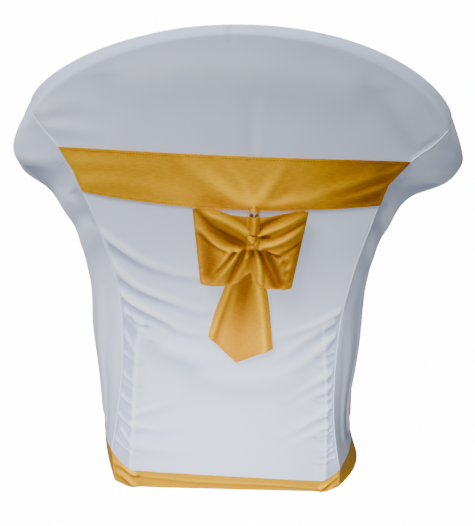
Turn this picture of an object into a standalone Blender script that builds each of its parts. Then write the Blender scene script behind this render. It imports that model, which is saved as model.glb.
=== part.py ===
"""Fitted cloth cover for a plastic armchair, with a satin sash and bow on its back.

The cover is hollow: the chair that fills it is not modelled. Metres, +Z up. The decorated back
faces -Y, the seat opens towards +Y, X runs across the chair, and the floor is at Z = 0.
Every panel is a smooth sheet laid through a small net of named levels and stations, then given
its thickness. Neighbouring panels share their seam lines and stop a hair short of them.
"""
import math
from collections import namedtuple

import bpy
import numpy as np

# ---- cloth and seams -------------------------------------------------------------------------
CLOTH = 0.0015              # stretch polyester, with the slight loft it hangs at
SATIN = 0.0012              # gold satin
SEAM_GAP = 0.0003           # clearance between two sewn pieces
CORNER_GAP = 0.0009         # how far a corner stops short of the point where seams cross
MITRE_FLOOR = 0.55          # keeps a mitred corner from growing into a spike

# ---- where the cover stands ------------------------------------------------------------------
BACK_PLANE = -0.2288        # depth of the chair's back at seat height
RIM_HALF = 0.018            # half of the rounded top rim, from its ridge to its seam
DROP_LENGTH = 0.050         # how quickly the rim falls to the height of the arms
DOME_POWER = 0.76           # roundness of the top rim's arch

# ---- stations along a side, measured forward of the back plane -------------------------------
CORNER_DEPTH = 0.058
FLANK_DEPTH = 0.140
MIDDLE_DEPTH = 0.290
FORE_DEPTH = 0.428
NOSE_SETBACK = 0.014        # where the front corner starts to turn
NOSE_SHARE = 0.30           # how far across that turn the corner point lies

# ---- mesh fineness ---------------------------------------------------------------------------
STEPS_PER_LEVEL = 2
STEPS_PER_STATION = 2
BACK_COLUMNS = 8            # spans across the back, seat and front
STEPS_PER_COLUMN = 2

# One row for each level of a side panel, top seam first, hem edge last.
# rear, front: height at the side seam and at the front seam
# seam, corner, flank, fore, edge: distance from the middle plane, going forward
# nose: depth of the front seam
Level = namedtuple("Level", "rear front seam corner flank fore edge nose")
LEFT_LEVELS = (
    Level(0.735, 0.652, 0.266, 0.291, 0.280, 0.262, 0.252, 0.452),
    Level(0.722, 0.645, 0.259, 0.308, 0.302, 0.282, 0.248, 0.464),
    Level(0.706, 0.632, 0.248, 0.315, 0.311, 0.292, 0.242, 0.472),
    Level(0.688, 0.592, 0.233, 0.308, 0.307, 0.289, 0.238, 0.476),
    Level(0.655, 0.555, 0.216, 0.273, 0.280, 0.272, 0.236, 0.478),
    Level(0.575, 0.490, 0.192, 0.244, 0.254, 0.256, 0.235, 0.478),
    Level(0.450, 0.430, 0.175, 0.233, 0.244, 0.250, 0.235, 0.478),
    Level(0.300, 0.300, 0.179, 0.239, 0.250, 0.254, 0.236, 0.480),
    Level(0.175, 0.160, 0.198, 0.242, 0.256, 0.260, 0.238, 0.484),
    Level(0.100, 0.045, 0.212, 0.248, 0.266, 0.266, 0.240, 0.488),
    Level(0.018, 0.000, 0.213, 0.251, 0.271, 0.270, 0.241, 0.490),
)
RIGHT_LEVELS = (
    Level(0.735, 0.652, 0.273, 0.293, 0.283, 0.264, 0.252, 0.452),
    Level(0.722, 0.647, 0.265, 0.307, 0.303, 0.283, 0.248, 0.464),
    Level(0.706, 0.638, 0.251, 0.312, 0.309, 0.291, 0.242, 0.472),
    Level(0.688, 0.612, 0.228, 0.302, 0.302, 0.288, 0.238, 0.476),
    Level(0.655, 0.580, 0.203, 0.251, 0.263, 0.266, 0.236, 0.478),
    Level(0.575, 0.505, 0.186, 0.221, 0.236, 0.250, 0.235, 0.478),
    Level(0.450, 0.430, 0.173, 0.211, 0.226, 0.243, 0.235, 0.478),
    Level(0.300, 0.300, 0.173, 0.218, 0.231, 0.247, 0.236, 0.480),
    Level(0.170, 0.160, 0.187, 0.220, 0.235, 0.254, 0.238, 0.484),
    Level(0.080, 0.045, 0.206, 0.239, 0.243, 0.262, 0.240, 0.488),
    Level(0.034, 0.000, 0.210, 0.258, 0.250, 0.267, 0.241, 0.490),
)
SEAT_LEVEL = 6              # the level that meets the seat
HEM_LEVEL = 9               # the level where the gold hem band is sewn on
# Height of each level at the middle of the back, and how much higher it runs at its right.
Crown = namedtuple("Crown", "height lean")
CROWNS = (
    Crown(0.851, 0.008),
    Crown(0.847, 0.008),
    Crown(0.805, 0.005),
    Crown(0.742, 0.000),
    Crown(0.665, 0.000),
    Crown(0.572, 0.000),
    Crown(0.450, 0.000),
    Crown(0.300, 0.000),
    Crown(0.160, 0.000),
    Crown(0.046, -0.001),
    Crown(0.009, 0.009),
)
DOME_LEVELS = 5             # levels above this arch with the rim; below, only the corners lift
CORNER_SHARPNESS = 12       # how close to the side seams that lift stays

# The back's middle line and its curve across, by height.
Profile = namedtuple("Profile", "height depth curve")
BACK_PROFILE = (
    Profile(0.00, -0.035, 0.00),
    Profile(0.15, -0.022, 0.00),
    Profile(0.30, -0.010, 0.10),
    Profile(0.42, -0.004, 0.35),
    Profile(0.50, -0.012, 0.45),
    Profile(0.60, -0.024, 0.50),
    Profile(0.70, -0.034, 0.65),
    Profile(0.86, -0.044, 0.65),
)

# The rear legs press two upright ridges into the back; outside them the cloth falls away.
LEG_RIDGE_TOP = 0.370
LEG_RIDGE_BOTTOM_X = 0.183
LEG_RIDGE_TOP_X = 0.150
LEG_RIDGE_HEIGHT = 0.0035
LEG_RIDGE_WIDTH = 0.012

# One row for each level of an inner arm, matching the first levels of a side panel.
# rear_half, rear_depth, rear_height: the corner where it meets the inner back
# flank, fore: distance from the middle plane; front: its height at the fore station
InnerLevel = namedtuple("InnerLevel", "rear_half rear_depth rear_height flank fore front")
INNER_LEVELS = (
    InnerLevel(0.266, 0.027, 0.735, 0.277, 0.262, 0.648),
    InnerLevel(0.256, 0.050, 0.722, 0.256, 0.242, 0.640),
    InnerLevel(0.246, 0.064, 0.695, 0.243, 0.230, 0.612),
    InnerLevel(0.232, 0.076, 0.655, 0.233, 0.221, 0.575),
    InnerLevel(0.214, 0.088, 0.600, 0.222, 0.213, 0.540),
    InnerLevel(0.196, 0.104, 0.510, 0.209, 0.208, 0.480),
    InnerLevel(0.184, 0.118, 0.425, 0.201, 0.205, 0.432),
)
INNER_CROWNS = (0.851, 0.846, 0.800, 0.735, 0.650, 0.530, 0.422)
INNER_DEPTHS = (-0.024, -0.006, 0.004, 0.018, 0.040, 0.070, 0.100)
INNER_STEP = 0.030          # first station of an inner arm past its rear corner

INNER_SECOND_SHARE = 0.30   # how far that station has moved out towards the flank
SEAT_DISH = 0.010           # how far the seat sags in its middle
SEAT_REAR_BOW = 0.018       # how far its rear edge bows back
FRONT_BULGE = 0.012         # how far the front edge bows forward

# ---- sash ------------------------------------------------------------------------------------
SASH_TOP_MIDDLE = 0.700
SASH_TOP_END = 0.686
SASH_BOTTOM_MIDDLE = 0.619
SASH_BOTTOM_END = 0.624
SASH_OFFSET = 0.0021        # middle of the sash in front of the middle of the back cloth
SASH_COLUMNS = 18
SASH_ROWS = 3

# ---- bow -------------------------------------------------------------------------------------
BOW_MIDDLE_X = 0.028
BOW_FOCUS = 0.575           # height that the pleats run to
KNOT_HEIGHT = 0.590
KNOT_HALF_WIDTH = 0.0085
KNOT_HALF_LENGTH = 0.027
KNOT_THICKNESS = 0.006
KNOT_OFFSET = 0.0210        # middle of the knot in front of the back cloth
KNOT_END_ROUNDNESS = 0.45
KNOT_SIDE_ROUNDNESS = 0.7
KNOT_RINGS = 8
KNOT_SIDES = 14
BOW_STANDOFF = 0.0072       # back layer of the loop in front of the back cloth
BOW_LOFT = 0.014            # how far its front layer stands proud of the back layer
BOW_PINCH = 0.55            # share of that loft left where the knot holds it
BOW_PLEAT = 0.0014          # depth of the pleats that run to the knot
PLEAT_COUNT = 7
BOW_TOP = 0.612             # the loop's edges at its middle
BOW_BOTTOM = 0.516
BOW_NOTCH = 0.35            # how far out the lower edge's notch reaches, as a share of a wing
BOW_ROUNDNESS = 0.8         # below 1 the loop stays flat longer and turns sharply at its ends
BOW_STEPS = 36
BOW_ROWS = 8

# reach: how far a wing runs from the middle of the bow
# top, bottom: heights of its outer corners
Wing = namedtuple("Wing", "reach top bottom")
LEFT_WING = Wing(-0.078, 0.630, 0.488)
RIGHT_WING = Wing(0.068, 0.630, 0.486)

# The tail hangs from the knot: each row gives its two edges at a height.
TailRow = namedtuple("TailRow", "left_x left_z right_x right_z")
TAIL_ROWS = (
    TailRow(0.008, 0.530, 0.034, 0.530),
    TailRow(-0.005, 0.497, 0.047, 0.497),
    TailRow(-0.015, 0.462, 0.055, 0.458),
    TailRow(-0.027, 0.418, 0.062, 0.405),
    TailRow(-0.036, 0.376, 0.068, 0.356),
)
TAIL_TIP_X = 0.010
TAIL_TIP_DROP = 0.042       # how far the point hangs below its two lower corners
TAIL_OFFSET = 0.0038        # middle of the tail in front of the middle of the back cloth
TAIL_FOLD = 0.0009
TAIL_COLUMNS = 10
TAIL_STEPS = 2

KEEPER_WIDTH = 0.011        # narrow loop that hangs the bow from the sash
KEEPER_TOP = 0.6290
KEEPER_BOTTOM = 0.6125
KEEPER_OFFSET = 0.0042      # its ends in front of the back cloth
KEEPER_ARC = 0.006          # how far its middle stands further out
KEEPER_STEPS = 8

WHITE = (0.72, 0.76, 0.84, 1.0)
GOLD = (0.58, 0.32, 0.03, 1.0)


# ---- smooth nets -----------------------------------------------------------------------------
def curve(points, steps):
    """Smooth curve through the rows of an array, with the given steps to each span."""
    rows = np.asarray(points, dtype=float)
    chord = np.diff(rows, axis=0)
    length = np.maximum(np.linalg.norm(chord, axis=-1, keepdims=True), 1e-9)
    pace = chord / length
    inner = (pace[:-1] * length[1:] + pace[1:] * length[:-1]) / (length[1:] + length[:-1])
    if len(rows) > 2:
        first = 1.5 * pace[:1] - 0.5 * inner[:1]
        last = 1.5 * pace[-1:] - 0.5 * inner[-1:]
    else:
        first = last = pace[:1]
    slope = np.concatenate((first, inner, last))
    spans = len(rows) - 1
    place = np.arange(spans * steps + 1) / steps
    span = np.minimum(place.astype(int), spans - 1)
    t = (place - span).reshape((-1,) + (1,) * (rows.ndim - 1))
    return (
        (2 * t**3 - 3 * t**2 + 1) * rows[span]
        + (t**3 - 2 * t**2 + t) * length[span] * slope[span]
        + (-2 * t**3 + 3 * t**2) * rows[span + 1]
        + (t**3 - t**2) * length[span] * slope[span + 1]
    )


def sheet(net, row_steps, column_steps):
    """Smooth sheet of points through a net of control points."""
    rows = curve(net, row_steps)
    return curve(rows.swapaxes(0, 1), column_steps).swapaxes(0, 1)


def eased(rows, height, column):
    """Value of one profile column at a height, smooth from row to row."""
    heights = np.array([row.height for row in rows])
    values = np.array([getattr(row, column) for row in rows])
    slopes = np.gradient(values, heights)
    span = np.clip(np.searchsorted(heights, height) - 1, 0, len(heights) - 2)
    width = heights[span + 1] - heights[span]
    t = np.clip((height - heights[span]) / width, 0.0, 1.0)
    return (
        (2 * t**3 - 3 * t**2 + 1) * values[span]
        + (t**3 - 2 * t**2 + t) * width * slopes[span]
        + (-2 * t**3 + 3 * t**2) * values[span + 1]
        + (t**3 - t**2) * width * slopes[span + 1]
    )


def hill(distance, width):
    """Soft rounded rise, 1 at its middle."""
    return np.exp(-((distance / width) ** 2))


# ---- the back --------------------------------------------------------------------------------
def back_depth(x, z):
    """Depth of the back cloth at a place across and up, with the ridges of the rear legs."""
    depth = eased(BACK_PROFILE, z, "depth") + eased(BACK_PROFILE, z, "curve") * x**2
    share = np.clip(1.0 - z / LEG_RIDGE_TOP, 0.0, 1.0)
    ridge_x = LEG_RIDGE_TOP_X + (LEG_RIDGE_BOTTOM_X - LEG_RIDGE_TOP_X) * share
    strength = np.clip((LEG_RIDGE_TOP - z) / 0.08, 0.0, 1.0)
    ridge = LEG_RIDGE_HEIGHT * strength * hill(np.abs(x) - ridge_x, LEG_RIDGE_WIDTH)
    return BACK_PLANE + depth - ridge


def across(count):
    """Shares of the half width, closer together towards the side seams."""
    return np.sin(np.linspace(-0.5, 0.5, count) * math.pi)


def back_sheet():
    """The back cloth from the rim seam down to the top of the hem band."""
    levels = zip(LEFT_LEVELS, RIGHT_LEVELS, CROWNS)
    net = [(left.seam, right.seam, left.rear, right.rear, *crown) for left, right, crown in levels]
    rows = curve(net[:HEM_LEVEL + 1], STEPS_PER_LEVEL)
    share = across(BACK_COLUMNS * STEPS_PER_COLUMN + 1)[None, :]
    level = np.arange(len(rows))[:, None] / STEPS_PER_LEVEL
    x, z = back_place(rows[:, :, None], share, level)
    roll = RIM_HALF * np.clip(1.0 - level, 0.0, 1.0) ** 2
    return np.stack((x, back_depth(x, z) + roll, z), axis=-1)


def back_place(rows, share, level):
    """Place across and up on the back, from its seams and crown at some levels."""
    left, right, left_rear, right_rear, height, lean = (rows[:, column] for column in range(6))
    x = 0.5 * (right - left) + 0.5 * (right + left) * share
    rear = 0.5 * (left_rear + right_rear) + 0.5 * (right_rear - left_rear) * share
    arch = np.maximum(1.0 - share**2, 0.0) ** DOME_POWER
    square = 1.0 - np.abs(share) ** CORNER_SHARPNESS
    crown = height + lean * share
    return x, rear + (crown - rear) * np.where(level < DOME_LEVELS, arch, square)


# ---- the sides and arms ----------------------------------------------------------------------
def falling(front, rear, depth, start):
    """Height along a side: from the rear height it drops to the front one, then runs level."""
    return front + (rear - front) * math.exp(-(depth - start) / DROP_LENGTH)


def side_net(levels, side):
    """Control points of one side, from its rear seam forward to its front seam."""
    net = []
    for index, row in enumerate(levels):
        seam_x = side * row.seam
        seam_y = float(back_depth(seam_x, row.rear))
        if index == 0:
            seam_y += RIM_HALF
        start = seam_y - BACK_PLANE
        middle = 0.5 * (row.flank + row.fore)
        corner_x = row.fore + (row.edge - row.fore) * NOSE_SHARE
        stations = (
            (row.corner, CORNER_DEPTH),
            (row.flank, FLANK_DEPTH),
            (middle, MIDDLE_DEPTH),
            (row.fore, FORE_DEPTH),
            (corner_x, row.nose - NOSE_SETBACK),
            (row.edge, row.nose),
        )
        points = [(seam_x, seam_y, row.rear)]
        for half, depth in stations:
            height = falling(row.front, row.rear, depth, start)
            points.append((side * half, BACK_PLANE + depth, height))
        net.append(points)
    return np.array(net)


def inner_arm_net(outer, side):
    """Control points of an inner arm: its top row is the arm seam of the side panel."""
    net = [list(map(tuple, outer[0]))]
    for index, row in enumerate(INNER_LEVELS[1:], start=1):
        front_seam = outer[index][-1]
        nose_depth = front_seam[1] - BACK_PLANE - NOSE_SETBACK
        fore_depth = min(FORE_DEPTH, nose_depth - NOSE_SETBACK)
        nose_x = row.fore + (abs(front_seam[0]) - row.fore) * NOSE_SHARE
        second_half = row.rear_half + INNER_SECOND_SHARE * (row.flank - row.rear_half)
        stations = (
            (row.rear_half, row.rear_depth),
            (second_half, row.rear_depth + INNER_STEP),
            (row.flank, FLANK_DEPTH + INNER_STEP),
            (0.5 * (row.flank + row.fore), MIDDLE_DEPTH),
            (row.fore, fore_depth),
            (nose_x, nose_depth),
        )
        points = []
        for half, depth in stations:
            height = falling(row.front, row.rear_height, depth, row.rear_depth)
            points.append((side * half, BACK_PLANE + depth, height))
        points.append(tuple(front_seam))
        net.append(points)
    return np.array(net)


def inner_back_net(left_arm, right_arm):
    """Control points of the inner back, hung between the rear corners of the inner arms."""
    net = []
    shares = across(BACK_COLUMNS + 1)
    for row, (left, right) in enumerate(zip(left_arm[:, 0], right_arm[:, 0])):
        points = []
        for share in shares:
            arch = max(1.0 - share**2, 0.0) ** DOME_POWER
            end = left + (right - left) * 0.5 * (1.0 + share)
            crown = INNER_CROWNS[row] + CROWNS[row].lean * share
            height = end[2] + (crown - end[2]) * arch
            depth = end[1] + (BACK_PLANE + INNER_DEPTHS[row] - end[1]) * (1.0 - share**2)
            points.append((end[0], depth, height))
        net.append(points)
    return np.array(net)


def seat_net(left_arm, right_arm, inner_back, front_edge):
    """Control points of the seat, rear row first."""
    left, right = left_arm[-1], right_arm[-1]
    shares = across(BACK_COLUMNS + 1)
    net = []
    for index in range(len(left)):
        forward = index / (len(left) - 1)
        dish = SEAT_DISH * math.sin(math.pi * forward)
        points = []
        for share in shares:
            point = left[index] + (right[index] - left[index]) * 0.5 * (1.0 + share)
            inside = 1.0 - share**2
            point[1] += FRONT_BULGE * forward * inside
            point[1] -= SEAT_REAR_BOW * (1.0 - forward) ** 2 * inside
            point[2] -= dish * inside
            points.append(tuple(point))
        net.append(points)
    net = np.array(net)
    net[0] = inner_back[-1]
    net[-1] = front_edge
    return net


def front_net(left, right):
    """Control points across the front between the two front seams."""
    shares = across(BACK_COLUMNS + 1)[None, :, None]
    net = left[:, None] + (right - left)[:, None] * 0.5 * (1.0 + shares)
    net[:, :, 1] += FRONT_BULGE * (1.0 - shares[:, :, 0] ** 2)
    return net


# ---- sheets to solids ------------------------------------------------------------------------
def own_normals(points):
    """Unit normal at each point of a sheet, from the quads that meet there."""
    first = points[1:, 1:] - points[:-1, :-1]
    second = points[:-1, 1:] - points[1:, :-1]
    quads = np.cross(first, second)
    total = np.zeros_like(points)
    for rows in (np.s_[:-1], np.s_[1:]):
        for columns in (np.s_[:-1], np.s_[1:]):
            total[rows, columns] += quads
    return total / np.linalg.norm(total, axis=-1, keepdims=True)


def shared_normals(sheets):
    """Normals that agree along shared seams, lengthened so that mitred cloth keeps its thickness."""
    meeting = {}
    for points in sheets.values():
        for key, normal in zip(seam_keys(points), own_normals(points).reshape(-1, 3)):
            meeting.setdefault(key, []).append(normal)
    shared = {}
    for name, points in sheets.items():
        mean = np.array([np.mean(meeting[key], axis=0) for key in seam_keys(points)])
        lean = np.linalg.norm(mean, axis=-1, keepdims=True)
        shared[name] = (mean / (lean * np.maximum(lean, MITRE_FLOOR))).reshape(points.shape)
    return shared


def seam_keys(points):
    """One hashable key for each point, equal where two sheets meet."""
    return [tuple(point) for point in np.round(points, 5).reshape(-1, 3).tolist()]


def pulled_in(points, normals):
    """Draws the four edges of a sheet back from its seams, and its corners a little further."""
    result = points.copy()
    unit = normals / np.linalg.norm(normals, axis=-1, keepdims=True)
    edges = (
        (np.s_[0, :], np.s_[1, :]),
        (np.s_[-1, :], np.s_[-2, :]),
        (np.s_[:, 0], np.s_[:, 1]),
        (np.s_[:, -1], np.s_[:, -2]),
    )
    for edge, inside in edges:
        inner_row = points[inside].copy()
        inner_row[0], inner_row[-1] = inner_row[1], inner_row[-2]
        inward = inner_row - points[edge]
        run = np.gradient(points[edge], axis=0)
        run -= unit[edge] * np.sum(run * unit[edge], axis=-1, keepdims=True)
        run /= np.linalg.norm(run, axis=-1, keepdims=True)
        for axis in (unit[edge], run):
            inward -= axis * np.sum(inward * axis, axis=-1, keepdims=True)
        inward /= np.linalg.norm(inward, axis=-1, keepdims=True)
        amount = np.full((len(inward), 1), 0.5 * SEAM_GAP)
        amount[0] = amount[-1] = CORNER_GAP
        result[edge] += inward * amount
    return result


def slab(outer, inner):
    """Vertices and faces of a closed slab between two matching grids of points."""
    rows, columns = outer.shape[:2]
    count = rows * columns
    vertices = np.concatenate((outer.reshape(-1, 3), inner.reshape(-1, 3)))
    index = np.arange(count).reshape(rows, columns)
    faces = []
    for r in range(rows - 1):
        for c in range(columns - 1):
            corners = [index[r, c], index[r + 1, c], index[r + 1, c + 1], index[r, c + 1]]
            faces.append(corners)
            faces.append([corner + count for corner in reversed(corners)])
    loop = list(index[0, :]) + list(index[1:, -1]) + list(index[-1, -2::-1])
    loop += list(index[-2:0:-1, 0])
    for a, b in zip(loop, loop[1:] + loop[:1]):
        faces.append([a, b, b + count, a + count])
    return vertices, [[int(corner) for corner in face] for face in faces]


# ---- objects ---------------------------------------------------------------------------------
def clear_scene():
    """Removes whatever objects the scene starts with."""
    for item in list(bpy.data.objects):
        bpy.data.objects.remove(item, do_unlink=True)


def cloth_material(name, colour, roughness, metallic=0.0):
    """Plain material in the colour of the cloth."""
    material = bpy.data.materials.new(name)
    material.use_nodes = True
    shader = material.node_tree.nodes["Principled BSDF"]
    shader.inputs["Base Color"].default_value = colour
    shader.inputs["Roughness"].default_value = roughness
    shader.inputs["Metallic"].default_value = metallic
    return material


def add_solid(name, vertices, faces, material):
    """Makes one named object from vertices and faces."""
    mesh = bpy.data.meshes.new(name)
    mesh.from_pydata([tuple(map(float, v)) for v in vertices], [], faces)
    mesh.materials.append(material)
    mesh.shade_smooth()
    mesh.update()
    item = bpy.data.objects.new(name, mesh)
    bpy.context.scene.collection.objects.link(item)
    return item


def add_sheet(name, points, thickness, material, normals=None):
    """Makes one named object from a sheet of points and its thickness."""
    if normals is None:
        normals = own_normals(points)
    middle = pulled_in(points, normals)
    step = 0.5 * thickness * normals
    vertices, faces = slab(middle + step, middle - step)
    return add_solid(name, vertices, faces, material)


# ---- the cover -------------------------------------------------------------------------------
def cover_sheets():
    """All sheets of the cover by name, facing outwards, with seams that coincide."""
    left_net = side_net(LEFT_LEVELS, -1)
    right_net = side_net(RIGHT_LEVELS, 1)
    split = HEM_LEVEL + 1
    back = back_sheet()
    sides = {}
    for name, net, edge in (("left", left_net, back[:, 0]), ("right", right_net, back[:, -1])):
        panel = sheet(net[:split], STEPS_PER_LEVEL, STEPS_PER_STATION)
        panel[:, 0] = edge
        sides[name] = panel
    seat_row = SEAT_LEVEL * STEPS_PER_LEVEL
    left_arm_net = inner_arm_net(left_net[:SEAT_LEVEL + 1], -1)
    right_arm_net = inner_arm_net(right_net[:SEAT_LEVEL + 1], 1)
    inner_net = inner_back_net(left_arm_net, right_arm_net)
    fronts = front_net(left_net[SEAT_LEVEL:, -1], right_net[SEAT_LEVEL:, -1])
    inner = sheet(inner_net, STEPS_PER_LEVEL, STEPS_PER_COLUMN)
    inner[0] = back[0]
    arms = {}
    for name, net, edge in (("left", left_arm_net, inner[:, 0]), ("right", right_arm_net, inner[:, -1])):
        arm = sheet(net, STEPS_PER_LEVEL, STEPS_PER_STATION)
        arm[0] = sides[name][0]
        arm[:, 0] = edge
        arm[:, -1] = sides[name][:seat_row + 1, -1]
        arms[name] = arm
    skirt = sheet(fronts[:HEM_LEVEL - SEAT_LEVEL + 1], STEPS_PER_LEVEL, STEPS_PER_COLUMN)
    skirt[:, 0] = sides["left"][seat_row:, -1]
    skirt[:, -1] = sides["right"][seat_row:, -1]
    seat = sheet(
        seat_net(left_arm_net, right_arm_net, inner_net, fronts[0]), STEPS_PER_STATION, STEPS_PER_COLUMN
    )
    seat[0] = inner[-1]
    seat[-1] = skirt[0]
    seat[:, 0] = arms["left"][-1]
    seat[:, -1] = arms["right"][-1]
    hems = hem_sheets(back, sides, skirt, (left_net, right_net, fronts))
    return {
        "cover_back": back,
        "cover_side_left": sides["left"][:, ::-1],
        "cover_side_right": sides["right"],
        "inner_back": inner[:, ::-1],
        "inner_arm_left": arms["left"],
        "inner_arm_right": arms["right"][:, ::-1],
        "seat_panel": seat[:, ::-1],
        "front_skirt": skirt[:, ::-1],
        **hems,
    }


def hem_sheets(back, sides, skirt, nets):
    """The four gold bands, from the last level of the white cloth down to the floor."""
    left_net, right_net, fronts = nets
    edge_left = curve(left_net[-1], STEPS_PER_STATION)
    edge_right = curve(right_net[-1], STEPS_PER_STATION)
    left, right = LEFT_LEVELS[-1], RIGHT_LEVELS[-1]
    last = np.array([[left.seam, right.seam, left.rear, right.rear, *CROWNS[-1]]])
    share = across(BACK_COLUMNS * STEPS_PER_COLUMN + 1)[None]
    x, z = back_place(last[:, :, None], share, HEM_LEVEL)
    edge_back = np.stack((x, back_depth(x, z), z), axis=-1)[0]
    edge_left[0], edge_right[0] = edge_back[0], edge_back[-1]
    edge_front = curve(fronts[-1], STEPS_PER_COLUMN)
    edge_front[0], edge_front[-1] = edge_left[-1], edge_right[-1]

    def band(top, bottom):
        middle = 0.5 * (top + bottom)
        return np.stack((top, middle, bottom))

    return {
        "hem_back": band(back[-1], edge_back),
        "hem_left": band(sides["left"][-1], edge_left)[:, ::-1],
        "hem_right": band(sides["right"][-1], edge_right),
        "hem_front": band(skirt[-1], edge_front)[:, ::-1],
    }


# ---- sash and bow ----------------------------------------------------------------------------
def seam_half(levels, height):
    """Half width of the back at a height."""
    heights = [row.rear for row in reversed(levels)]
    return np.interp(height, heights, [row.seam for row in reversed(levels)])


def sash_sheet():
    """The satin band across the back, from side seam to side seam."""
    share = np.linspace(-1.0, 1.0, SASH_COLUMNS + 1)
    top = SASH_TOP_MIDDLE + (SASH_TOP_END - SASH_TOP_MIDDLE) * share**2
    bottom = SASH_BOTTOM_MIDDLE + (SASH_BOTTOM_END - SASH_BOTTOM_MIDDLE) * share**2
    down = np.linspace(0.0, 1.0, SASH_ROWS + 1)[:, None]
    z = top + (bottom - top) * down
    left = seam_half(LEFT_LEVELS, z) - CLOTH
    right = seam_half(RIGHT_LEVELS, z) - CLOTH
    x = 0.5 * (right - left) + 0.5 * (right + left) * share
    return np.stack((x, back_depth(x, z) - SASH_OFFSET, z), axis=-1)


def bow_sheet():
    """The bow: one strip of satin folded into a flat loop, its ends meeting behind the knot."""
    turn = np.linspace(0.0, 2.0 * math.pi, BOW_STEPS + 1)[None, :]
    row = np.linspace(0.0, 1.0, BOW_ROWS + 1)[:, None]
    out = np.abs(np.sin(turn)) ** BOW_ROUNDNESS
    right = turn < math.pi
    reach = np.where(right, RIGHT_WING.reach, LEFT_WING.reach) * out
    reach[:, 0] = 2.0 * SEAM_GAP
    reach[:, -1] = -2.0 * SEAM_GAP
    top = BOW_TOP + (np.where(right, RIGHT_WING.top, LEFT_WING.top) - BOW_TOP) * out
    corner = np.where(right, RIGHT_WING.bottom, LEFT_WING.bottom)
    notch = np.clip(1.0 - out / BOW_NOTCH, 0.0, 1.0) ** 2
    bottom = corner + (BOW_BOTTOM - corner) * notch
    z = top + (bottom - top) * row
    x = BOW_MIDDLE_X + reach + 0.0 * row
    front = 0.5 * (1.0 - np.cos(turn))
    stand = BOW_LOFT * front * (BOW_PINCH + (1.0 - BOW_PINCH) * out)
    ray = np.arctan2(z - BOW_FOCUS, np.abs(reach) + KNOT_HALF_WIDTH)
    stand = stand + BOW_PLEAT * np.cos(PLEAT_COUNT * ray) * front**2 * (1.0 - out**4)
    return np.stack((x, back_depth(x, z) - BOW_STANDOFF - stand, z), axis=-1)


def tail_sheet():
    """The pointed tail that hangs below the knot."""
    rows = curve(np.array(TAIL_ROWS), TAIL_STEPS)
    share = np.linspace(0.0, 1.0, TAIL_COLUMNS + 1)[None, :]
    x = rows[:, 0:1] + (rows[:, 2:3] - rows[:, 0:1]) * share
    z = rows[:, 1:2] + (rows[:, 3:4] - rows[:, 1:2]) * share
    down = np.linspace(0.0, 1.0, len(rows))[:, None]
    last = TAIL_ROWS[-1]
    tip = (TAIL_TIP_X - last.left_x) / (last.right_x - last.left_x)
    point = np.where(share < tip, share / tip, (1.0 - share) / (1.0 - tip))
    z = z - TAIL_TIP_DROP * point * down**2
    fold = TAIL_FOLD * np.cos(3.0 * math.pi * share) * down
    return np.stack((x, back_depth(x, z) - TAIL_OFFSET + fold, z), axis=-1)


def keeper_sheet():
    """The narrow loop that runs from the lower edge of the sash down to the knot."""
    length = np.linspace(0.0, 1.0, KEEPER_STEPS + 1)[:, None]
    side = np.linspace(-0.5, 0.5, 3)[None, :]
    z = KEEPER_TOP + (KEEPER_BOTTOM - KEEPER_TOP) * length + 0.0 * side
    x = BOW_MIDDLE_X + KEEPER_WIDTH * side + 0.0 * length
    stand = KEEPER_OFFSET + KEEPER_ARC * np.sin(math.pi * length)
    return np.stack((x, back_depth(x, z) - stand, z), axis=-1)


def rounded(value, power):
    """A sine or cosine made squarer, keeping its sign."""
    return math.copysign(abs(value) ** power, value)


def add_knot(material):
    """The strip wrapped round the middle of the bow, as one soft rounded pad."""
    depth = float(back_depth(BOW_MIDDLE_X, KNOT_HEIGHT)) - KNOT_OFFSET
    vertices = []
    for ring in range(1, KNOT_RINGS):
        tilt = math.pi * ring / KNOT_RINGS
        girth = math.sin(tilt) ** KNOT_END_ROUNDNESS
        height = KNOT_HEIGHT + KNOT_HALF_LENGTH * math.cos(tilt)
        for side in range(KNOT_SIDES):
            turn = 2.0 * math.pi * side / KNOT_SIDES
            x = KNOT_HALF_WIDTH * girth * rounded(math.cos(turn), KNOT_SIDE_ROUNDNESS)
            y = 0.5 * KNOT_THICKNESS * girth * rounded(math.sin(turn), KNOT_SIDE_ROUNDNESS)
            vertices.append((BOW_MIDDLE_X + x, depth + y, height))
    vertices.append((BOW_MIDDLE_X, depth, KNOT_HEIGHT + KNOT_HALF_LENGTH))
    vertices.append((BOW_MIDDLE_X, depth, KNOT_HEIGHT - KNOT_HALF_LENGTH))
    top, bottom = len(vertices) - 2, len(vertices) - 1
    faces = []
    last = (KNOT_RINGS - 2) * KNOT_SIDES
    for side in range(KNOT_SIDES):
        after = (side + 1) % KNOT_SIDES
        faces.append([side, after, top])
        faces.append([last + after, last + side, bottom])
        for low in range(0, last, KNOT_SIDES):
            high = low + KNOT_SIDES
            faces.append([low + after, low + side, high + side, high + after])
    return add_solid("bow_knot", vertices, faces, material)


def build():
    """Builds every piece of the cover, the sash and the bow."""
    clear_scene()
    white = cloth_material("white_polyester", WHITE, 0.75)
    gold = cloth_material("gold_satin", GOLD, 0.35)
    sheets = cover_sheets()
    normals = shared_normals(sheets)
    for name, points in sheets.items():
        satin = name.startswith("hem")
        add_sheet(name, points, SATIN if satin else CLOTH, gold if satin else white, normals[name])
    add_sheet("sash_band", sash_sheet(), SATIN, gold)
    add_sheet("bow_loop", bow_sheet(), SATIN, gold)
    add_sheet("bow_tail", tail_sheet(), SATIN, gold)
    add_sheet("bow_keeper", keeper_sheet(), SATIN, gold)
    add_knot(gold)


build()
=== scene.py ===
"""Visual model of a fitted white chair cover with a gold satin sash, bow and hem band.

Every cloth panel repeats the frame's nets of levels and stations with finer steps, then carries
its own creases, drawn as soft ridges and troughs in metres. Metres, +Z up; the decorated
back faces -Y and the seat opens towards +Y.
"""

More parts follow.
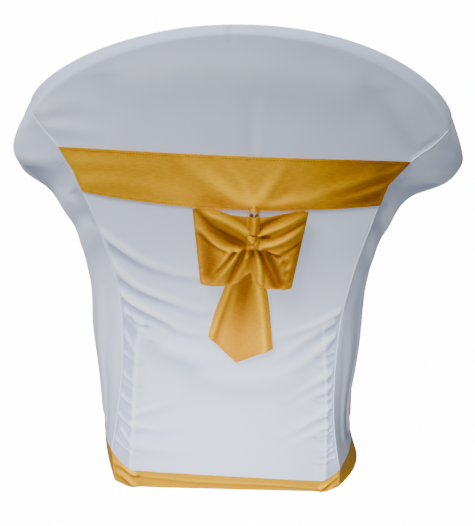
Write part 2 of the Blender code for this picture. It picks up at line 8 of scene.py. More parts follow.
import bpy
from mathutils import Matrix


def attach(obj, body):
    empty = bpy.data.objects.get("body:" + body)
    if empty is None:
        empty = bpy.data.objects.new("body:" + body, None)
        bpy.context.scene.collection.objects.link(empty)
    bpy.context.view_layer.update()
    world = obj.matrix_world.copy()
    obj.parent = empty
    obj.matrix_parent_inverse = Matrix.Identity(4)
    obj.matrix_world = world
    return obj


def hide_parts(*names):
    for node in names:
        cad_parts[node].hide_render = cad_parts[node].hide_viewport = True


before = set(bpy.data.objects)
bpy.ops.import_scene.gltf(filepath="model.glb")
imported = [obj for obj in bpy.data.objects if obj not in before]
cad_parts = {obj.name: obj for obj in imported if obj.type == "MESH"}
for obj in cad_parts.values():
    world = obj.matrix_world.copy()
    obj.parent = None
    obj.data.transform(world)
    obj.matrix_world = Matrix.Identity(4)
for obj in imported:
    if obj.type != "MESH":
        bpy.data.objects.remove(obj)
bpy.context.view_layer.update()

import logging
import math
from dataclasses import dataclass, field
from enum import Enum
from typing import Iterable, NamedTuple, Sequence

import bpy
import numpy as np
from mathutils import Matrix, Vector

Array = np.ndarray
Path = tuple[tuple[float, float], ...]
Colour = tuple[float, float, float]
Place = tuple[float, float, float]
Mesh = bpy.types.Mesh
Tree = bpy.types.NodeTree
Node = bpy.types.Node
Socket = bpy.types.NodeSocket
Given = float | str
Ends = tuple[Tree, Node, Node]
log = logging.getLogger("chair_cover")

BODY = "root"
# Thickness of the white cloth and of the satin, and the gaps left between two panels.
CLOTH = 0.0015
SATIN = 0.0012
SEAM_GAP = 0.0001
CORNER_GAP = 0.0001
# Seams sharper than this share of a mitre keep its length.
MITRE_FLOOR = 0.55


class Held(Enum):
    """How a sheet of cloth is held."""

    STRETCHED = "stretched"
    HUNG = "hung"
    FOLDED = "folded"


class Slot(Enum):
    """Material slots of the record."""

    WHITE = "white_polyester"
    HEM = "gold_hem_satin"
    GOLD = "gold_satin"


Materials = dict[Slot, bpy.types.Material]


# ---- smooth nets -----------------------------------------------------------------------------
def hermite(t: Array, begin: Array, end: Array, leave: Array, arrive: Array) -> Array:
    """Smooth step between two values.

    Args:
        t: Share of the way, 0 to 1.
        begin: Value at the start.
        end: Value at the end.
        leave: Slope at the start, over the whole step.
        arrive: Slope at the end, over the whole step.

    Returns:
        The value at each share.
    """
    return (
        (2 * t**3 - 3 * t**2 + 1) * begin
        + (t**3 - 2 * t**2 + t) * leave
        + (-2 * t**3 + 3 * t**2) * end
        + (t**3 - t**2) * arrive
    )


def curve(points: Array, steps: Sequence[int]) -> Array:
    """Smooth curve through the rows of an array.

    Args:
        points: Rows of control values.
        steps: Steps for each span between two rows.

    Returns:
        One row for each step, both ends included.
    """
    rows = np.asarray(points, dtype=float)
    chord = np.diff(rows, axis=0)
    length = np.maximum(np.linalg.norm(chord, axis=-1, keepdims=True), 1e-9)
    pace = chord / length
    inner = (pace[:-1] * length[1:] + pace[1:] * length[:-1]) / (length[1:] + length[:-1])
    if len(rows) > 2:
        first = 1.5 * pace[:1] - 0.5 * inner[:1]
        last = 1.5 * pace[-1:] - 0.5 * inner[-1:]
    else:
        first = last = pace[:1]
    slope = np.concatenate((first, inner, last))
    span = np.append(np.repeat(np.arange(len(steps)), steps), len(steps) - 1)
    t = np.append(np.concatenate([np.arange(count) / count for count in steps]), 1.0)
    t = t.reshape((-1,) + (1,) * (rows.ndim - 1))
    leave, arrive = length[span] * slope[span], length[span] * slope[span + 1]
    return hermite(t, rows[span], rows[span + 1], leave, arrive)


def sheet(net: Array, row_steps: Sequence[int], column_steps: Sequence[int]) -> Array:
    """Smooth sheet of points through a net of control points."""
    rows = curve(net, row_steps)
    return curve(rows.swapaxes(0, 1), column_steps).swapaxes(0, 1)


def ease(value: Array) -> Array:
    """Smooth step of a value held between 0 and 1."""
    held = np.clip(value, 0.0, 1.0)
    return held * held * (3.0 - 2.0 * held)


def hill(distance: Array, width: float) -> Array:
    """Soft rounded rise, 1 at its middle."""
    return np.exp(-((distance / width) ** 2))


def uneven(index: int, salt: float) -> float:
    """A fixed irregular share from 0 to 1 for one item of a row."""
    return (math.sin(12.9898 * index + 78.233 * salt) * 43758.5453) % 1.0


def between(low: float, high: float, index: int, salt: float) -> float:
    """A fixed irregular value between two values for one item of a row."""
    return low + (high - low) * uneven(index, salt)


def ripple(first: Array, second: Array, size: float, salt: float) -> Array:
    """Slow uneven waves about -1 to 1 over two measures, the larger ones about one size long.

    Args:
        first: The first measure.
        second: The second measure.
        size: Length of the larger waves.
        salt: Moves the pattern.

    Returns:
        The height at each point.
    """
    a, b = first / size, second / size
    return 0.45 * (
        np.sin(5.1 * a + 2.3 * b + salt)
        + 0.7 * np.sin(-3.7 * a + 6.1 * b + 2.1 * salt + 1.7)
        + 0.5 * np.sin(9.4 * a - 7.7 * b + 0.7 * salt + 0.4)
    )


# ---- creases ---------------------------------------------------------------------------------
class Crease(NamedTuple):
    """One soft ridge, or a trough where its height is below zero.

    path runs in a panel's own two measures. start and end say how strong it is at its ends, and
    hollow how deep the trough is that follows on the right-hand side of the path.
    """

    path: Path
    width: float
    height: float
    start: float = 1.0
    end: float = 1.0
    hollow: float = 0.5


def crease_height(first: Array, second: Array, crease: Crease) -> Array:
    """Height of one crease over a sheet.

    Args:
        first: The sheet's first measure at each of its points.
        second: Its second measure.
        crease: The crease.

    Returns:
        The height at each point.
    """
    path = np.array(crease.path)
    if len(path) > 2:
        path = curve(path, [5] * (len(path) - 1))
    reach = 4.0 * crease.width
    near = (
        (first > path[:, 0].min() - reach)
        & (first < path[:, 0].max() + reach)
        & (second > path[:, 1].min() - reach)
        & (second < path[:, 1].max() + reach)
    )
    height = np.zeros(first.shape)
    if not near.any():
        return height
    place = np.stack((first[near], second[near]), axis=-1)[:, None]
    run = np.diff(path, axis=0)[None]
    offset = place - path[None, :-1]
    along = np.clip(np.sum(offset * run, axis=-1) / np.sum(run * run, axis=-1), 0.0, 1.0)
    gap = offset - along[..., None] * run
    distance = np.linalg.norm(gap, axis=-1)
    closest = np.argmin(distance, axis=1)
    row = np.arange(len(closest))
    turn = run[0, closest, 0] * gap[row, closest, 1] - run[0, closest, 1] * gap[row, closest, 0]
    signed = distance[row, closest] * np.where(turn < 0.0, -1.0, 1.0)
    share = (closest + along[row, closest]) / run.shape[1]
    strength = crease.start + (crease.end - crease.start) * ease(share)
    profile = hill(signed, crease.width)
    profile -= crease.hollow * hill(signed + 1.7 * crease.width, 1.3 * crease.width)
    height[near] = crease.height * strength * profile
    return height


def relief(first: Array, second: Array, creases: Iterable[Crease]) -> Array:
    """Height of all creases together over a sheet.

    Args:
        first: The sheet's first measure at each of its points.
        second: Its second measure.
        creases: The creases.

    Returns:
        The height at each point.
    """
    total = np.zeros(first.shape)
    for crease in creases:
        total += crease_height(first, second, crease)
    return total


# ---- sheets to meshes ------------------------------------------------------------------------
def own_normals(points: Array) -> Array:
    """Unit normal at each point of a sheet, from the quads that meet there.

    Args:
        points: Grid of points.

    Returns:
        Grid of normals.
    """
    quads = np.cross(points[1:, 1:] - points[:-1, :-1], points[:-1, 1:] - points[1:, :-1])
    total = np.zeros_like(points)
    for rows in (np.s_[:-1], np.s_[1:]):
        for columns in (np.s_[:-1], np.s_[1:]):
            total[rows, columns] += quads
    return total / np.linalg.norm(total, axis=-1, keepdims=True)


def seam_keys(points: Array) -> list[tuple[float, ...]]:
    """One hashable key for each point on a sheet's four edges, equal where two sheets meet."""
    edges = np.concatenate((points[0], points[-1], points[:, 0], points[:, -1]))
    return [tuple(point) for point in np.round(edges, 5).tolist()]


def shared_normals(sheets: dict[str, Array]) -> dict[str, Array]:
    """Normals that agree along shared seams, longer there so that mitred cloth keeps its thickness.

    Args:
        sheets: Grids of points by name, whose seams coincide.

    Returns:
        One grid of normals for each sheet.
    """
    meeting: dict[tuple[float, ...], list[Array]] = {}
    own = {name: own_normals(points) for name, points in sheets.items()}
    slices = (np.s_[0, :], np.s_[-1, :], np.s_[:, 0], np.s_[:, -1])
    for name, points in sheets.items():
        edges = np.concatenate([own[name][part] for part in slices])
        for key, normal in zip(seam_keys(points), edges):
            meeting.setdefault(key, []).append(normal)
    for name, points in sheets.items():
        mean = np.array([np.mean(meeting[key], axis=0) for key in seam_keys(points)])
        lean = np.linalg.norm(mean, axis=-1, keepdims=True)
        mitred = mean / (lean * np.maximum(lean, MITRE_FLOOR))
        begin = 0
        for part in slices:
            count = len(own[name][part])
            own[name][part] = mitred[begin:begin + count]
            begin += count
    return own


def unit(vectors: Array) -> Array:
    """Vectors brought to length 1."""
    return vectors / np.maximum(np.linalg.norm(vectors, axis=-1, keepdims=True), 1e-12)


def pulled_in(points: Array, normals: Array) -> Array:
    """Draws the four edges of a sheet back from its seams, and its corners a little further.

    Args:
        points: Grid of points.
        normals: Grid of outward normals.

    Returns:
        The grid with its edges drawn in.
    """
    result = points.copy()
    upright = unit(normals)
    edges = (
        (np.s_[0, :], np.s_[1, :]),
        (np.s_[-1, :], np.s_[-2, :]),
        (np.s_[:, 0], np.s_[:, 1]),
        (np.s_[:, -1], np.s_[:, -2]),
    )
    for edge, inside in edges:
        inner_row = points[inside].copy()
        inner_row[0], inner_row[-1] = inner_row[1], inner_row[-2]
        inward = inner_row - points[edge]
        run = np.gradient(points[edge], axis=0)
        run -= upright[edge] * np.sum(run * upright[edge], axis=-1, keepdims=True)
        for axis in (upright[edge], unit(run)):
            inward = inward - axis * np.sum(inward * axis, axis=-1, keepdims=True)
        amount = np.full((len(inward), 1), 0.5 * SEAM_GAP)
        amount[0] = amount[-1] = CORNER_GAP
        result[edge] += unit(inward) * amount
    return result


def measure(points: Array) -> tuple[Array, Array]:
    """Distances over a sheet along its rows and down its columns, in metres.

    Args:
        points: Grid of points.

    Returns:
        The two grids of distances.
    """
    along = np.linalg.norm(np.diff(points, axis=1), axis=-1)
    down = np.linalg.norm(np.diff(points, axis=0), axis=-1)
    u = np.concatenate((np.zeros((len(points), 1)), np.cumsum(along, axis=1)), axis=1)
    v = np.concatenate((np.zeros((1, points.shape[1])), np.cumsum(down, axis=0)), axis=0)
    return u, v


def edge_fade(points: Array, reach: float) -> Array:
    """0 on a sheet's edges, rising to 1 at a distance inside them.

    Args:
        points: Grid of points.
        reach: The distance.

    Returns:
        The share at each point.
    """
    u, v = measure(points)
    inside = np.minimum(np.minimum(u, u[:, -1:] - u), np.minimum(v, v[-1:] - v))
    return ease(inside / reach)


def slab_mesh(name: str, middle: Array, normals: Array, thickness: float, fold: Array) -> Mesh:
    """Closed mesh of even thickness on a sheet of points.

    Args:
        name: Name of the mesh.
        middle: Grid of points in the middle of the cloth.
        normals: Grid of outward normals.
        thickness: Thickness of the cloth.
        fold: Painted shade and highlight at each point, -1 to 1, mostly from how far it stands proud of the
            smooth sheet.

    Returns:
        The mesh, with a UV map in metres and the fold attribute of painted shade and highlight.
    """
    rows, columns = middle.shape[:2]
    count = rows * columns
    step = 0.5 * thickness * normals
    vertices = np.concatenate(((middle + step).reshape(-1, 3), (middle - step).reshape(-1, 3)))
    index = np.arange(count).reshape(rows, columns)
    quads = np.stack((index[:-1, :-1], index[1:, :-1], index[1:, 1:], index[:-1, 1:]), axis=-1)
    quads = quads.reshape(-1, 4)
    loop = np.concatenate((index[0, :], index[1:, -1], index[-1, -2::-1], index[-2:0:-1, 0]))
    after = np.roll(loop, -1)
    rim = np.stack((loop, after, after + count, loop + count), axis=-1)
    faces = np.concatenate((quads, quads[:, ::-1] + count, rim))
    u, v = measure(middle)
    uv = np.tile(np.stack((u, v), axis=-1).reshape(-1, 2), (2, 1))
    return grid_mesh(name, vertices, faces, uv, np.tile(fold.reshape(-1), 2))


def grid_mesh(name: str, vertices: Array, faces: Array, uv: Array, fold: Array) -> Mesh:
    """Mesh from arrays of points and quads.

    Args:
        name: Name of the mesh.
        vertices: Points, one row each.
        faces: Four point numbers for each face.
        uv: Two map measures for each point.
        fold: The fold attribute of each point: its painted shade and highlight.

    Returns:
        The mesh, shaded smooth with crisp rims.
    """
    mesh = bpy.data.meshes.new(name)
    mesh.vertices.add(len(vertices))
    mesh.vertices.foreach_set("co", vertices.astype(np.float32).ravel())
    mesh.loops.add(faces.size)
    mesh.loops.foreach_set("vertex_index", faces.astype(np.int32).ravel())
    mesh.polygons.add(len(faces))
    mesh.polygons.foreach_set("loop_start", np.arange(0, faces.size, 4, dtype=np.int32))
    mesh.polygons.foreach_set("loop_total", np.full(len(faces), 4, dtype=np.int32))
    mesh.update(calc_edges=True)
    layer = mesh.uv_layers.new(name="UVMap")
    layer.data.foreach_set("uv", uv[faces.ravel()].astype(np.float32).ravel())
    # The fold attribute carries painted shade and painted highlights for the material.
    attribute = mesh.attributes.new("fold", "FLOAT", "POINT")
    attribute.data.foreach_set("value", fold.astype(np.float32))
    mesh.shade_smooth()
    mesh.set_sharp_from_angle(angle=math.radians(55.0))
    return mesh


def place_piece(name: str, mesh: Mesh, material: bpy.types.Material,
                replaces: Sequence[str] = ()) -> bpy.types.Object:
    """Adds one finished piece to the scene and tells the frame about it.

    Args:
        name: Name of the piece.
        mesh: Its mesh, in the frame's own place.
        material: Its material.
        replaces: The frame's nodes that it stands for.

    Returns:
        The piece.
    """
    mesh.materials.clear()
    mesh.materials.append(material)
    piece = bpy.data.objects.new(name, mesh)
    bpy.context.scene.collection.objects.link(piece)
    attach(piece, BODY)
    if replaces:
        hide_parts(*replaces)
    log.info("%s: %d faces", name, len(mesh.polygons))
    return piece


# ---- nodes -----------------------------------------------------------------------------------
def add_node(tree: Tree, kind: str, inputs: dict[str, object] | None = None, **settings: str) -> Node:
    """Adds one node and feeds its inputs.

    Args:
        tree: The tree it goes into.
        kind: The node's type.
        inputs: A value, or another node's output, for each input by name.
        **settings: Properties of the node, set before its inputs.

    Returns:
        The node.
    """
    node = tree.nodes.new(kind)
    for label, setting in settings.items():
        setattr(node, label, setting)
    for label, value in (inputs or {}).items():
        feed(tree, node.inputs[label], value)
    return node


def feed(tree: Tree, socket: Socket, value: object) -> None:
    """Links an output to a socket, or sets the socket's own value."""
    if isinstance(value, bpy.types.NodeSocket):
        tree.links.new(value, socket)
    else:
        socket.default_value = value


def math_node(tree: Tree, operation: str, first: object, second: object = 0.0) -> Socket:
    """Adds one math node.

    Args:
        tree: The tree it goes into.
        operation: What it does.
        first: Its first number or output.
        second: Its second number or output.

    Returns:
        The node's output.
    """
    node = add_node(tree, "ShaderNodeMath", operation=operation)
    for socket, value in zip(node.inputs, (first, second)):
        feed(tree, socket, value)
    return node.outputs[0]


def new_tree(kind: str, name: str, inputs: dict[str, Given], outputs: dict[str, Given]) -> Ends:
    """Empty node tree with named sockets.

    Args:
        kind: ShaderNodeTree or GeometryNodeTree.
        name: Name of the tree.
        inputs: A socket type, or a default number, for each input by name.
        outputs: A socket type for each output by name.

    Returns:
        The tree and its input and output nodes.
    """
    tree = bpy.data.node_groups.new(name, kind)
    for in_out, sockets in (("INPUT", inputs), ("OUTPUT", outputs)):
        for label, given in sockets.items():
            number = isinstance(given, float)
            socket_type = "NodeSocketFloat" if number else given
            socket = tree.interface.new_socket(label, in_out=in_out, socket_type=socket_type)
            if number:
                socket.default_value = given
    return tree, tree.nodes.new("NodeGroupInput"), tree.nodes.new("NodeGroupOutput")


# ---- finishes --------------------------------------------------------------------------------
VECTOR = {"Vector": "NodeSocketVector"}
AXES = (("X", "Across"), ("Y", "Along"))


def mottle_group() -> Tree:
    """Group: slow uneven cloudiness over the cloth, as a mask about 0.5."""
    sizes = {"Scale": 12.0, "Strength": 1.0}
    tree, source, result = new_tree(
        "ShaderNodeTree", "cloth_mottle", VECTOR | sizes, {"Mask": "NodeSocketFloat"}
    )
    given = source.outputs
    noise = add_node(tree, "ShaderNodeTexNoise", {
        "Detail": 3.0, "Roughness": 0.6, "Vector": given["Vector"], "Scale": given["Scale"],
    })
    centred = math_node(tree, "SUBTRACT", noise.outputs["Fac"], 0.5)
    scaled = math_node(tree, "MULTIPLY", centred, given["Strength"])
    feed(tree, result.inputs["Mask"], math_node(tree, "ADD", scaled, 0.5))
    return tree


def thread_group() -> Tree:
    """Group: woven threads from the map in metres, as a height and a streak mask.

    Across and Along are threads to the metre; Grain mixes in uneven threads.

    Returns:
        The group.
    """
    sizes = {"Across": 1500.0, "Along": 1500.0, "Grain": 0.5}
    masks = {"Height": "NodeSocketFloat", "Streak": "NodeSocketFloat"}
    tree, source, result = new_tree("ShaderNodeTree", "cloth_threads", VECTOR | sizes, masks)
    given = source.outputs
    parts = add_node(tree, "ShaderNodeSeparateXYZ", {"Vector": given["Vector"]}).outputs
    counts = {axis: math_node(tree, "MULTIPLY", parts[axis], given[label]) for axis, label in AXES}
    waves = []
    for count in counts.values():
        waves.append(math_node(tree, "SINE", math_node(tree, "MULTIPLY", count, 2.0 * math.pi)))
    weave = math_node(tree, "MULTIPLY", *waves)
    quarters = {axis: math_node(tree, "MULTIPLY", count, 0.25) for axis, count in counts.items()}
    stretch = add_node(tree, "ShaderNodeCombineXYZ", quarters)
    noise = add_node(tree, "ShaderNodeTexNoise", {
        "Scale": 1.0, "Detail": 2.0, "Vector": stretch.outputs[0],
    })
    grain = math_node(tree, "MULTIPLY", noise.outputs["Fac"], given["Grain"])
    fine = math_node(tree, "MULTIPLY", weave, 0.25)
    feed(tree, result.inputs["Height"], math_node(tree, "ADD", fine, grain))
    feed(tree, result.inputs["Streak"], noise.outputs["Fac"])
    return tree


@dataclass(frozen=True)
class ClothFinish:
    """Look of one kind of cloth.

    low is its painted shade colour, for troughs and for cloth turned from the light, and high its painted
    highlight colour, for ridges and piping (a painted sheen on the satins); across and along count its
    threads to the metre.
    """

    name: str
    low: Colour
    middle: Colour
    high: Colour
    roughness: float
    metallic: float
    sheen: float
    across: float
    along: float
    grain: float
    bump: float
    mottle: float
    streaks: float
    tint: Colour = (1.0, 1.0, 1.0)
    shine: float = 0.28
    mottle_scale: float = 9.0
    rough_streaks: float = 0.25
    bump_height: float = 0.0003

    def build(self, mottle: Tree, threads: Tree) -> bpy.types.Material:
        """Material of this cloth.

        Args:
            mottle: The cloudiness group.
            threads: The thread group.

        Returns:
            The material.
        """
        material = bpy.data.materials.new(self.name)
        material.use_nodes = True
        tree = material.node_tree
        place = add_node(tree, "ShaderNodeTexCoord").outputs
        cloud = add_node(tree, "ShaderNodeGroup", {
            "Scale": self.mottle_scale, "Strength": self.mottle, "Vector": place["Object"],
        }, node_tree=mottle)
        weave = add_node(tree, "ShaderNodeGroup", {
            "Across": self.across, "Along": self.along, "Grain": self.grain, "Vector": place["UV"],
        }, node_tree=threads)
        streak = math_node(tree, "SUBTRACT", weave.outputs["Streak"], 0.5)
        rough = math_node(tree, "MULTIPLY", streak, self.rough_streaks)
        bump = add_node(tree, "ShaderNodeBump", {
            "Strength": self.bump, "Distance": self.bump_height, "Height": weave.outputs["Height"],
        })
        values = {
            "Base Color": self.colour(tree, cloud.outputs["Mask"], streak),
            "Roughness": math_node(tree, "ADD", rough, self.roughness),
            "Normal": bump.outputs["Normal"],
            "Metallic": self.metallic,
            "Sheen Weight": self.sheen,
            "Sheen Roughness": 0.45,
            "Specular Tint": (*self.tint, 1.0),
            "Specular IOR Level": self.shine,
        }
        shader = tree.nodes["Principled BSDF"]
        for label, value in values.items():
            feed(tree, shader.inputs[label], value)
        return material

    def colour(self, tree: Tree, mask: Socket, streak: Socket) -> Socket:
        """Colour with painted shade in troughs and painted highlights on ridges, from the fold attribute,
        and with the cloudiness and the threads.

        Args:
            tree: The material's tree.
            mask: The cloudiness, about 0.5.
            streak: The threads, about 0.

        Returns:
            The colour's output.
        """
        # Painted light: the fold attribute moves the colour towards low for painted shade and towards high
        # for painted highlights.
        fold = add_node(tree, "ShaderNodeAttribute", attribute_name="fold")
        shift = math_node(tree, "MULTIPLY", fold.outputs["Fac"], 0.5)
        tone = math_node(tree, "ADD", mask, shift)
        streaked = math_node(tree, "MULTIPLY", streak, self.streaks)
        ramp = add_node(tree, "ShaderNodeValToRGB", {"Fac": math_node(tree, "ADD", tone, streaked)})
        ramp.color_ramp.interpolation = "LINEAR"
        ramp.color_ramp.elements[0].color = (*self.low, 1.0)
        ramp.color_ramp.elements[1].color = (*self.high, 1.0)
        ramp.color_ramp.elements.new(0.5).color = (*self.middle, 1.0)
        return ramp.outputs["Color"]


@dataclass
class Wardrobe:
    """The finishes of every cloth on the cover."""

    # For each cloth, low is the painted shade colour, high the painted highlight colour (painted sheen on
    # the gold satins), and middle its plain colour.
    white: ClothFinish = ClothFinish(
        "white_stretch_knit", (0.41, 0.47, 0.66), (0.67, 0.73, 0.94), (0.79, 0.85, 0.99),
        roughness=0.66, metallic=0.0, sheen=0.10, across=1300.0, along=1700.0, grain=0.9,
        bump=0.35, mottle=0.08, streaks=0.06,
    )
    gold: ClothFinish = ClothFinish(
        "gold_satin_cloth", (0.25, 0.075, 0.0), (0.53, 0.225, 0.0), (0.92, 0.48, 0.004),
        roughness=0.38, metallic=0.22, sheen=0.0, across=420.0, along=2600.0, grain=0.9,
        bump=0.30, mottle=0.16, streaks=0.55, tint=(1.0, 0.66, 0.12),
    )
    hem: ClothFinish = ClothFinish(
        "gold_hem_cloth", (0.34, 0.12, 0.0), (0.60, 0.29, 0.0), (0.82, 0.47, 0.01),
        roughness=0.44, metallic=0.12, sheen=0.0, across=2600.0, along=420.0, grain=0.9,
        bump=0.30, mottle=0.16, streaks=0.25, tint=(1.0, 0.70, 0.16),
    )

    def build(self) -> Materials:
        """Materials by slot."""
        mottle, threads = mottle_group(), thread_group()
        finishes = {Slot.WHITE: self.white, Slot.GOLD: self.gold, Slot.HEM: self.hem}
        return {slot: finish.build(mottle, threads) for slot, finish in finishes.items()}


# ---- thread and piping by geometry nodes -----------------------------------------------------
def path_tree(name: str, sizes: dict[str, Given]) -> tuple[Tree, Node, Node, Node]:
    """Geometry tree that starts from a path.

    Args:
        name: Name of the tree.
        sizes: Default of each size by name.

    Returns:
        The tree, its input and output nodes, and the node with the path's curve.
    """
    geometry = {"Geometry": "NodeSocketGeometry"}
    material = {"Material": "NodeSocketMaterial"}
    tree, source, result = new_tree("GeometryNodeTree", name, geometry | sizes | material, geometry)
    path = add_node(tree, "GeometryNodeMeshToCurve", {"Mesh": source.outputs["Geometry"]})
    return tree, source, result, path


def finish_tree(tree: Tree, geometry: Socket, source: Node, result: Node) -> None:
    """Ends a tree in Realize Instances, smooth shading and Set Material.

    Args:
        tree: The geometry tree.
        geometry: The output that holds its shapes.
        source: Its input node.
        result: Its output node.
    """
    for kind in ("GeometryNodeRealizeInstances", "GeometryNodeSetShadeSmooth", "GeometryNodeSetMaterial"):
        node = add_node(tree, kind, {"Geometry": geometry})
        geometry = node.outputs["Geometry"]
    feed(tree, node.inputs["Material"], source.outputs["Material"])
    feed(tree, result.inputs["Geometry"], geometry)


def stitch_tree() -> Tree:
    """Tree: short threads laid end to end along a path, each turned along it and a little differently
    sized.
    """
    sizes = {"Spacing": 0.004, "Length": 0.003, "Radius": 0.0004}
    tree, source, result, path = path_tree("stitches", sizes)
    given = source.outputs
    spaced = add_node(tree, "GeometryNodeResampleCurve", {
        "Curve": path.outputs["Curve"], "Length": given["Spacing"],
    }, mode="LENGTH")
    thread = add_node(tree, "GeometryNodeMeshUVSphere", {"Segments": 6, "Rings": 4, "Radius": 1.0})
    tangent = add_node(tree, "GeometryNodeInputTangent").outputs["Tangent"]
    turned = add_node(tree, "FunctionNodeAlignRotationToVector", {"Vector": tangent}, axis="Z")
    half = math_node(tree, "MULTIPLY", given["Length"], 0.5)
    size = add_node(tree, "ShaderNodeCombineXYZ", {
        "X": given["Radius"], "Y": given["Radius"], "Z": half,
    })
    vary = add_node(tree, "FunctionNodeRandomValue", {
        "Min": (0.85, 0.85, 0.85), "Max": (1.15, 1.15, 1.10), "Seed": 7,
    }, data_type="FLOAT_VECTOR")
    scaled = add_node(tree, "ShaderNodeVectorMath", operation="MULTIPLY")
    feed(tree, scaled.inputs[0], size.outputs[0])
    feed(tree, scaled.inputs[1], vary.outputs["Value"])
    placed = add_node(tree, "GeometryNodeInstanceOnPoints", {
        "Points": spaced.outputs["Curve"], "Instance": thread.outputs["Mesh"],
        "Rotation": turned.outputs["Rotation"], "Scale": scaled.outputs["Vector"],
    })
    finish_tree(tree, placed.outputs["Instances"], source, result)
    return tree


def piping_tree() -> Tree:
    """Tree: a round closed roll of cloth along a path."""
    tree, source, result, path = path_tree("piping", {"Radius": 0.0012})
    ring = add_node(tree, "GeometryNodeCurvePrimitiveCircle", {
        "Resolution": 8, "Radius": source.outputs["Radius"],
    })
    swept = add_node(tree, "GeometryNodeCurveToMesh", {
        "Fill Caps": True, "Curve": path.outputs["Curve"], "Profile Curve": ring.outputs["Curve"],
    })
    finish_tree(tree, swept.outputs["Mesh"], source, result)
    return tree


@dataclass
class Trim:
    """Threads and piping that follow paths, made by the two trees."""

    materials: Materials
    stitches: Tree = field(default_factory=stitch_tree)
    piping: Tree = field(default_factory=piping_tree)

    def along(self, name: str, paths: Sequence[Array], tree: Tree, slot: Slot, fold: float,
              **sizes: float) -> bpy.types.Object:
        """Adds one piece that follows some paths.

        Args:
            name: Name of the piece.
            paths: Rows of points, one array for each path.
            tree: The geometry tree to use.
            slot: The slot whose material it takes.
            fold: How light or dark it is painted, from -1 to 1.
            **sizes: The tree's named sizes.

        Returns:
            The finished piece.
        """
        vertices = np.concatenate(paths)
        edges, begin = [], 0
        for path in paths:
            edges += [(begin + step, begin + step + 1) for step in range(len(path) - 1)]
            begin += len(path)
        guide_mesh = bpy.data.meshes.new(name + "_guide")
        guide_mesh.from_pydata([tuple(map(float, vertex)) for vertex in vertices], edges, [])
        guide = bpy.data.objects.new(name + "_guide", guide_mesh)
        bpy.context.scene.collection.objects.link(guide)
        modifier = guide.modifiers.new("follow", "NODES")
        modifier.node_group = tree
        given = {**sizes, "Material": self.materials[slot]}
        for socket in tree.interface.items_tree:
            if socket.in_out == "INPUT" and socket.name in given:
                modifier[socket.identifier] = given[socket.name]
        evaluated = guide.evaluated_get(bpy.context.evaluated_depsgraph_get())
        mesh = bpy.data.meshes.new_from_object(evaluated)
        mesh.name = name
        shade = mesh.attributes.new("fold", "FLOAT", "POINT")
        shade.data.foreach_set("value", np.full(len(mesh.vertices), fold, dtype=np.float32))
        bpy.data.objects.remove(guide, do_unlink=True)
        return place_piece(name, mesh, self.materials[slot])


# ---- the chair's form under the cloth --------------------------------------------------------
class Level(NamedTuple):
    """One level of a side panel, top seam first.

    rear and front are heights at the side seam and the front seam; seam, corner, flank, fore and
    edge are distances from the middle plane going forward; nose is the depth of the front seam.
    """

    rear: float
    front: float
    seam: float
    corner: float
    flank: float
    fore: float
    edge: float
    nose: float


class Crown(NamedTuple):
    """Height of a level at the middle of the back, and how much higher it runs at its right."""

    height: float
    lean: float


class Profile(NamedTuple):
    """The back's middle line and its curve across, at a height."""

    height: float
    depth: float
    curve: float


class InnerLevel(NamedTuple):
    """One level of an inner arm, from its corner with the inner back forward."""

    rear_half: float
    rear_depth: float
    rear_height: float
    flank: float
    fore: float
    front: float


LEFT_LEVELS = (
    Level(0.735, 0.652, 0.266, 0.291, 0.280, 0.262, 0.252, 0.452),
    Level(0.722, 0.645, 0.259, 0.308, 0.302, 0.282, 0.248, 0.464),
    Level(0.706, 0.632, 0.248, 0.315, 0.311, 0.292, 0.242, 0.472),
    Level(0.688, 0.592, 0.233, 0.308, 0.307, 0.289, 0.238, 0.476),
    Level(0.655, 0.555, 0.216, 0.273, 0.280, 0.272, 0.236, 0.478),
    Level(0.575, 0.490, 0.192, 0.244, 0.254, 0.256, 0.235, 0.478),
    Level(0.450, 0.430, 0.175, 0.233, 0.244, 0.250, 0.235, 0.478),
    Level(0.300, 0.300, 0.179, 0.239, 0.250, 0.254, 0.236, 0.480),
    Level(0.175, 0.160, 0.198, 0.242, 0.256, 0.260, 0.238, 0.484),
    Level(0.100, 0.045, 0.212, 0.248, 0.266, 0.266, 0.240, 0.488),
    Level(0.018, 0.000, 0.213, 0.251, 0.271, 0.270, 0.241, 0.490),
)
RIGHT_LEVELS = (
    Level(0.735, 0.652, 0.273, 0.293, 0.283, 0.264, 0.252, 0.452),
    Level(0.722, 0.647, 0.265, 0.307, 0.303, 0.283, 0.248, 0.464),
    Level(0.706, 0.638, 0.251, 0.312, 0.309, 0.291, 0.242, 0.472),
    Level(0.688, 0.612, 0.228, 0.302, 0.302, 0.288, 0.238, 0.476),
    Level(0.655, 0.580, 0.203, 0.251, 0.263, 0.266, 0.236, 0.478),
    Level(0.575, 0.505, 0.186, 0.221, 0.236, 0.250, 0.235, 0.478),
    Level(0.450, 0.430, 0.173, 0.211, 0.226, 0.243, 0.235, 0.478),
    Level(0.300, 0.300, 0.173, 0.218, 0.231, 0.247, 0.236, 0.480),
    Level(0.170, 0.160, 0.187, 0.220, 0.235, 0.254, 0.238, 0.484),
    Level(0.080, 0.045, 0.206, 0.239, 0.243, 0.262, 0.240, 0.488),
    Level(0.034, 0.000, 0.210, 0.258, 0.250, 0.267, 0.241, 0.490),
)
CROWNS = (
    Crown(0.851, 0.008),
    Crown(0.847, 0.008),
    Crown(0.805, 0.005),
    Crown(0.742, 0.000),
    Crown(0.665, 0.000),
    Crown(0.572, 0.000),
    Crown(0.450, 0.000),
    Crown(0.300, 0.000),
    Crown(0.160, 0.000),
    Crown(0.046, -0.001),
    Crown(0.009, 0.009),
)
BACK_PROFILE = (
    Profile(0.00, -0.035, 0.00),
    Profile(0.15, -0.022, 0.00),
    Profile(0.30, -0.010, 0.10),
    Profile(0.42, -0.004, 0.35),
    Profile(0.50, -0.012, 0.45),
    Profile(0.60, -0.024, 0.50),
    Profile(0.70, -0.034, 0.65),
    Profile(0.86, -0.044, 0.65),
)
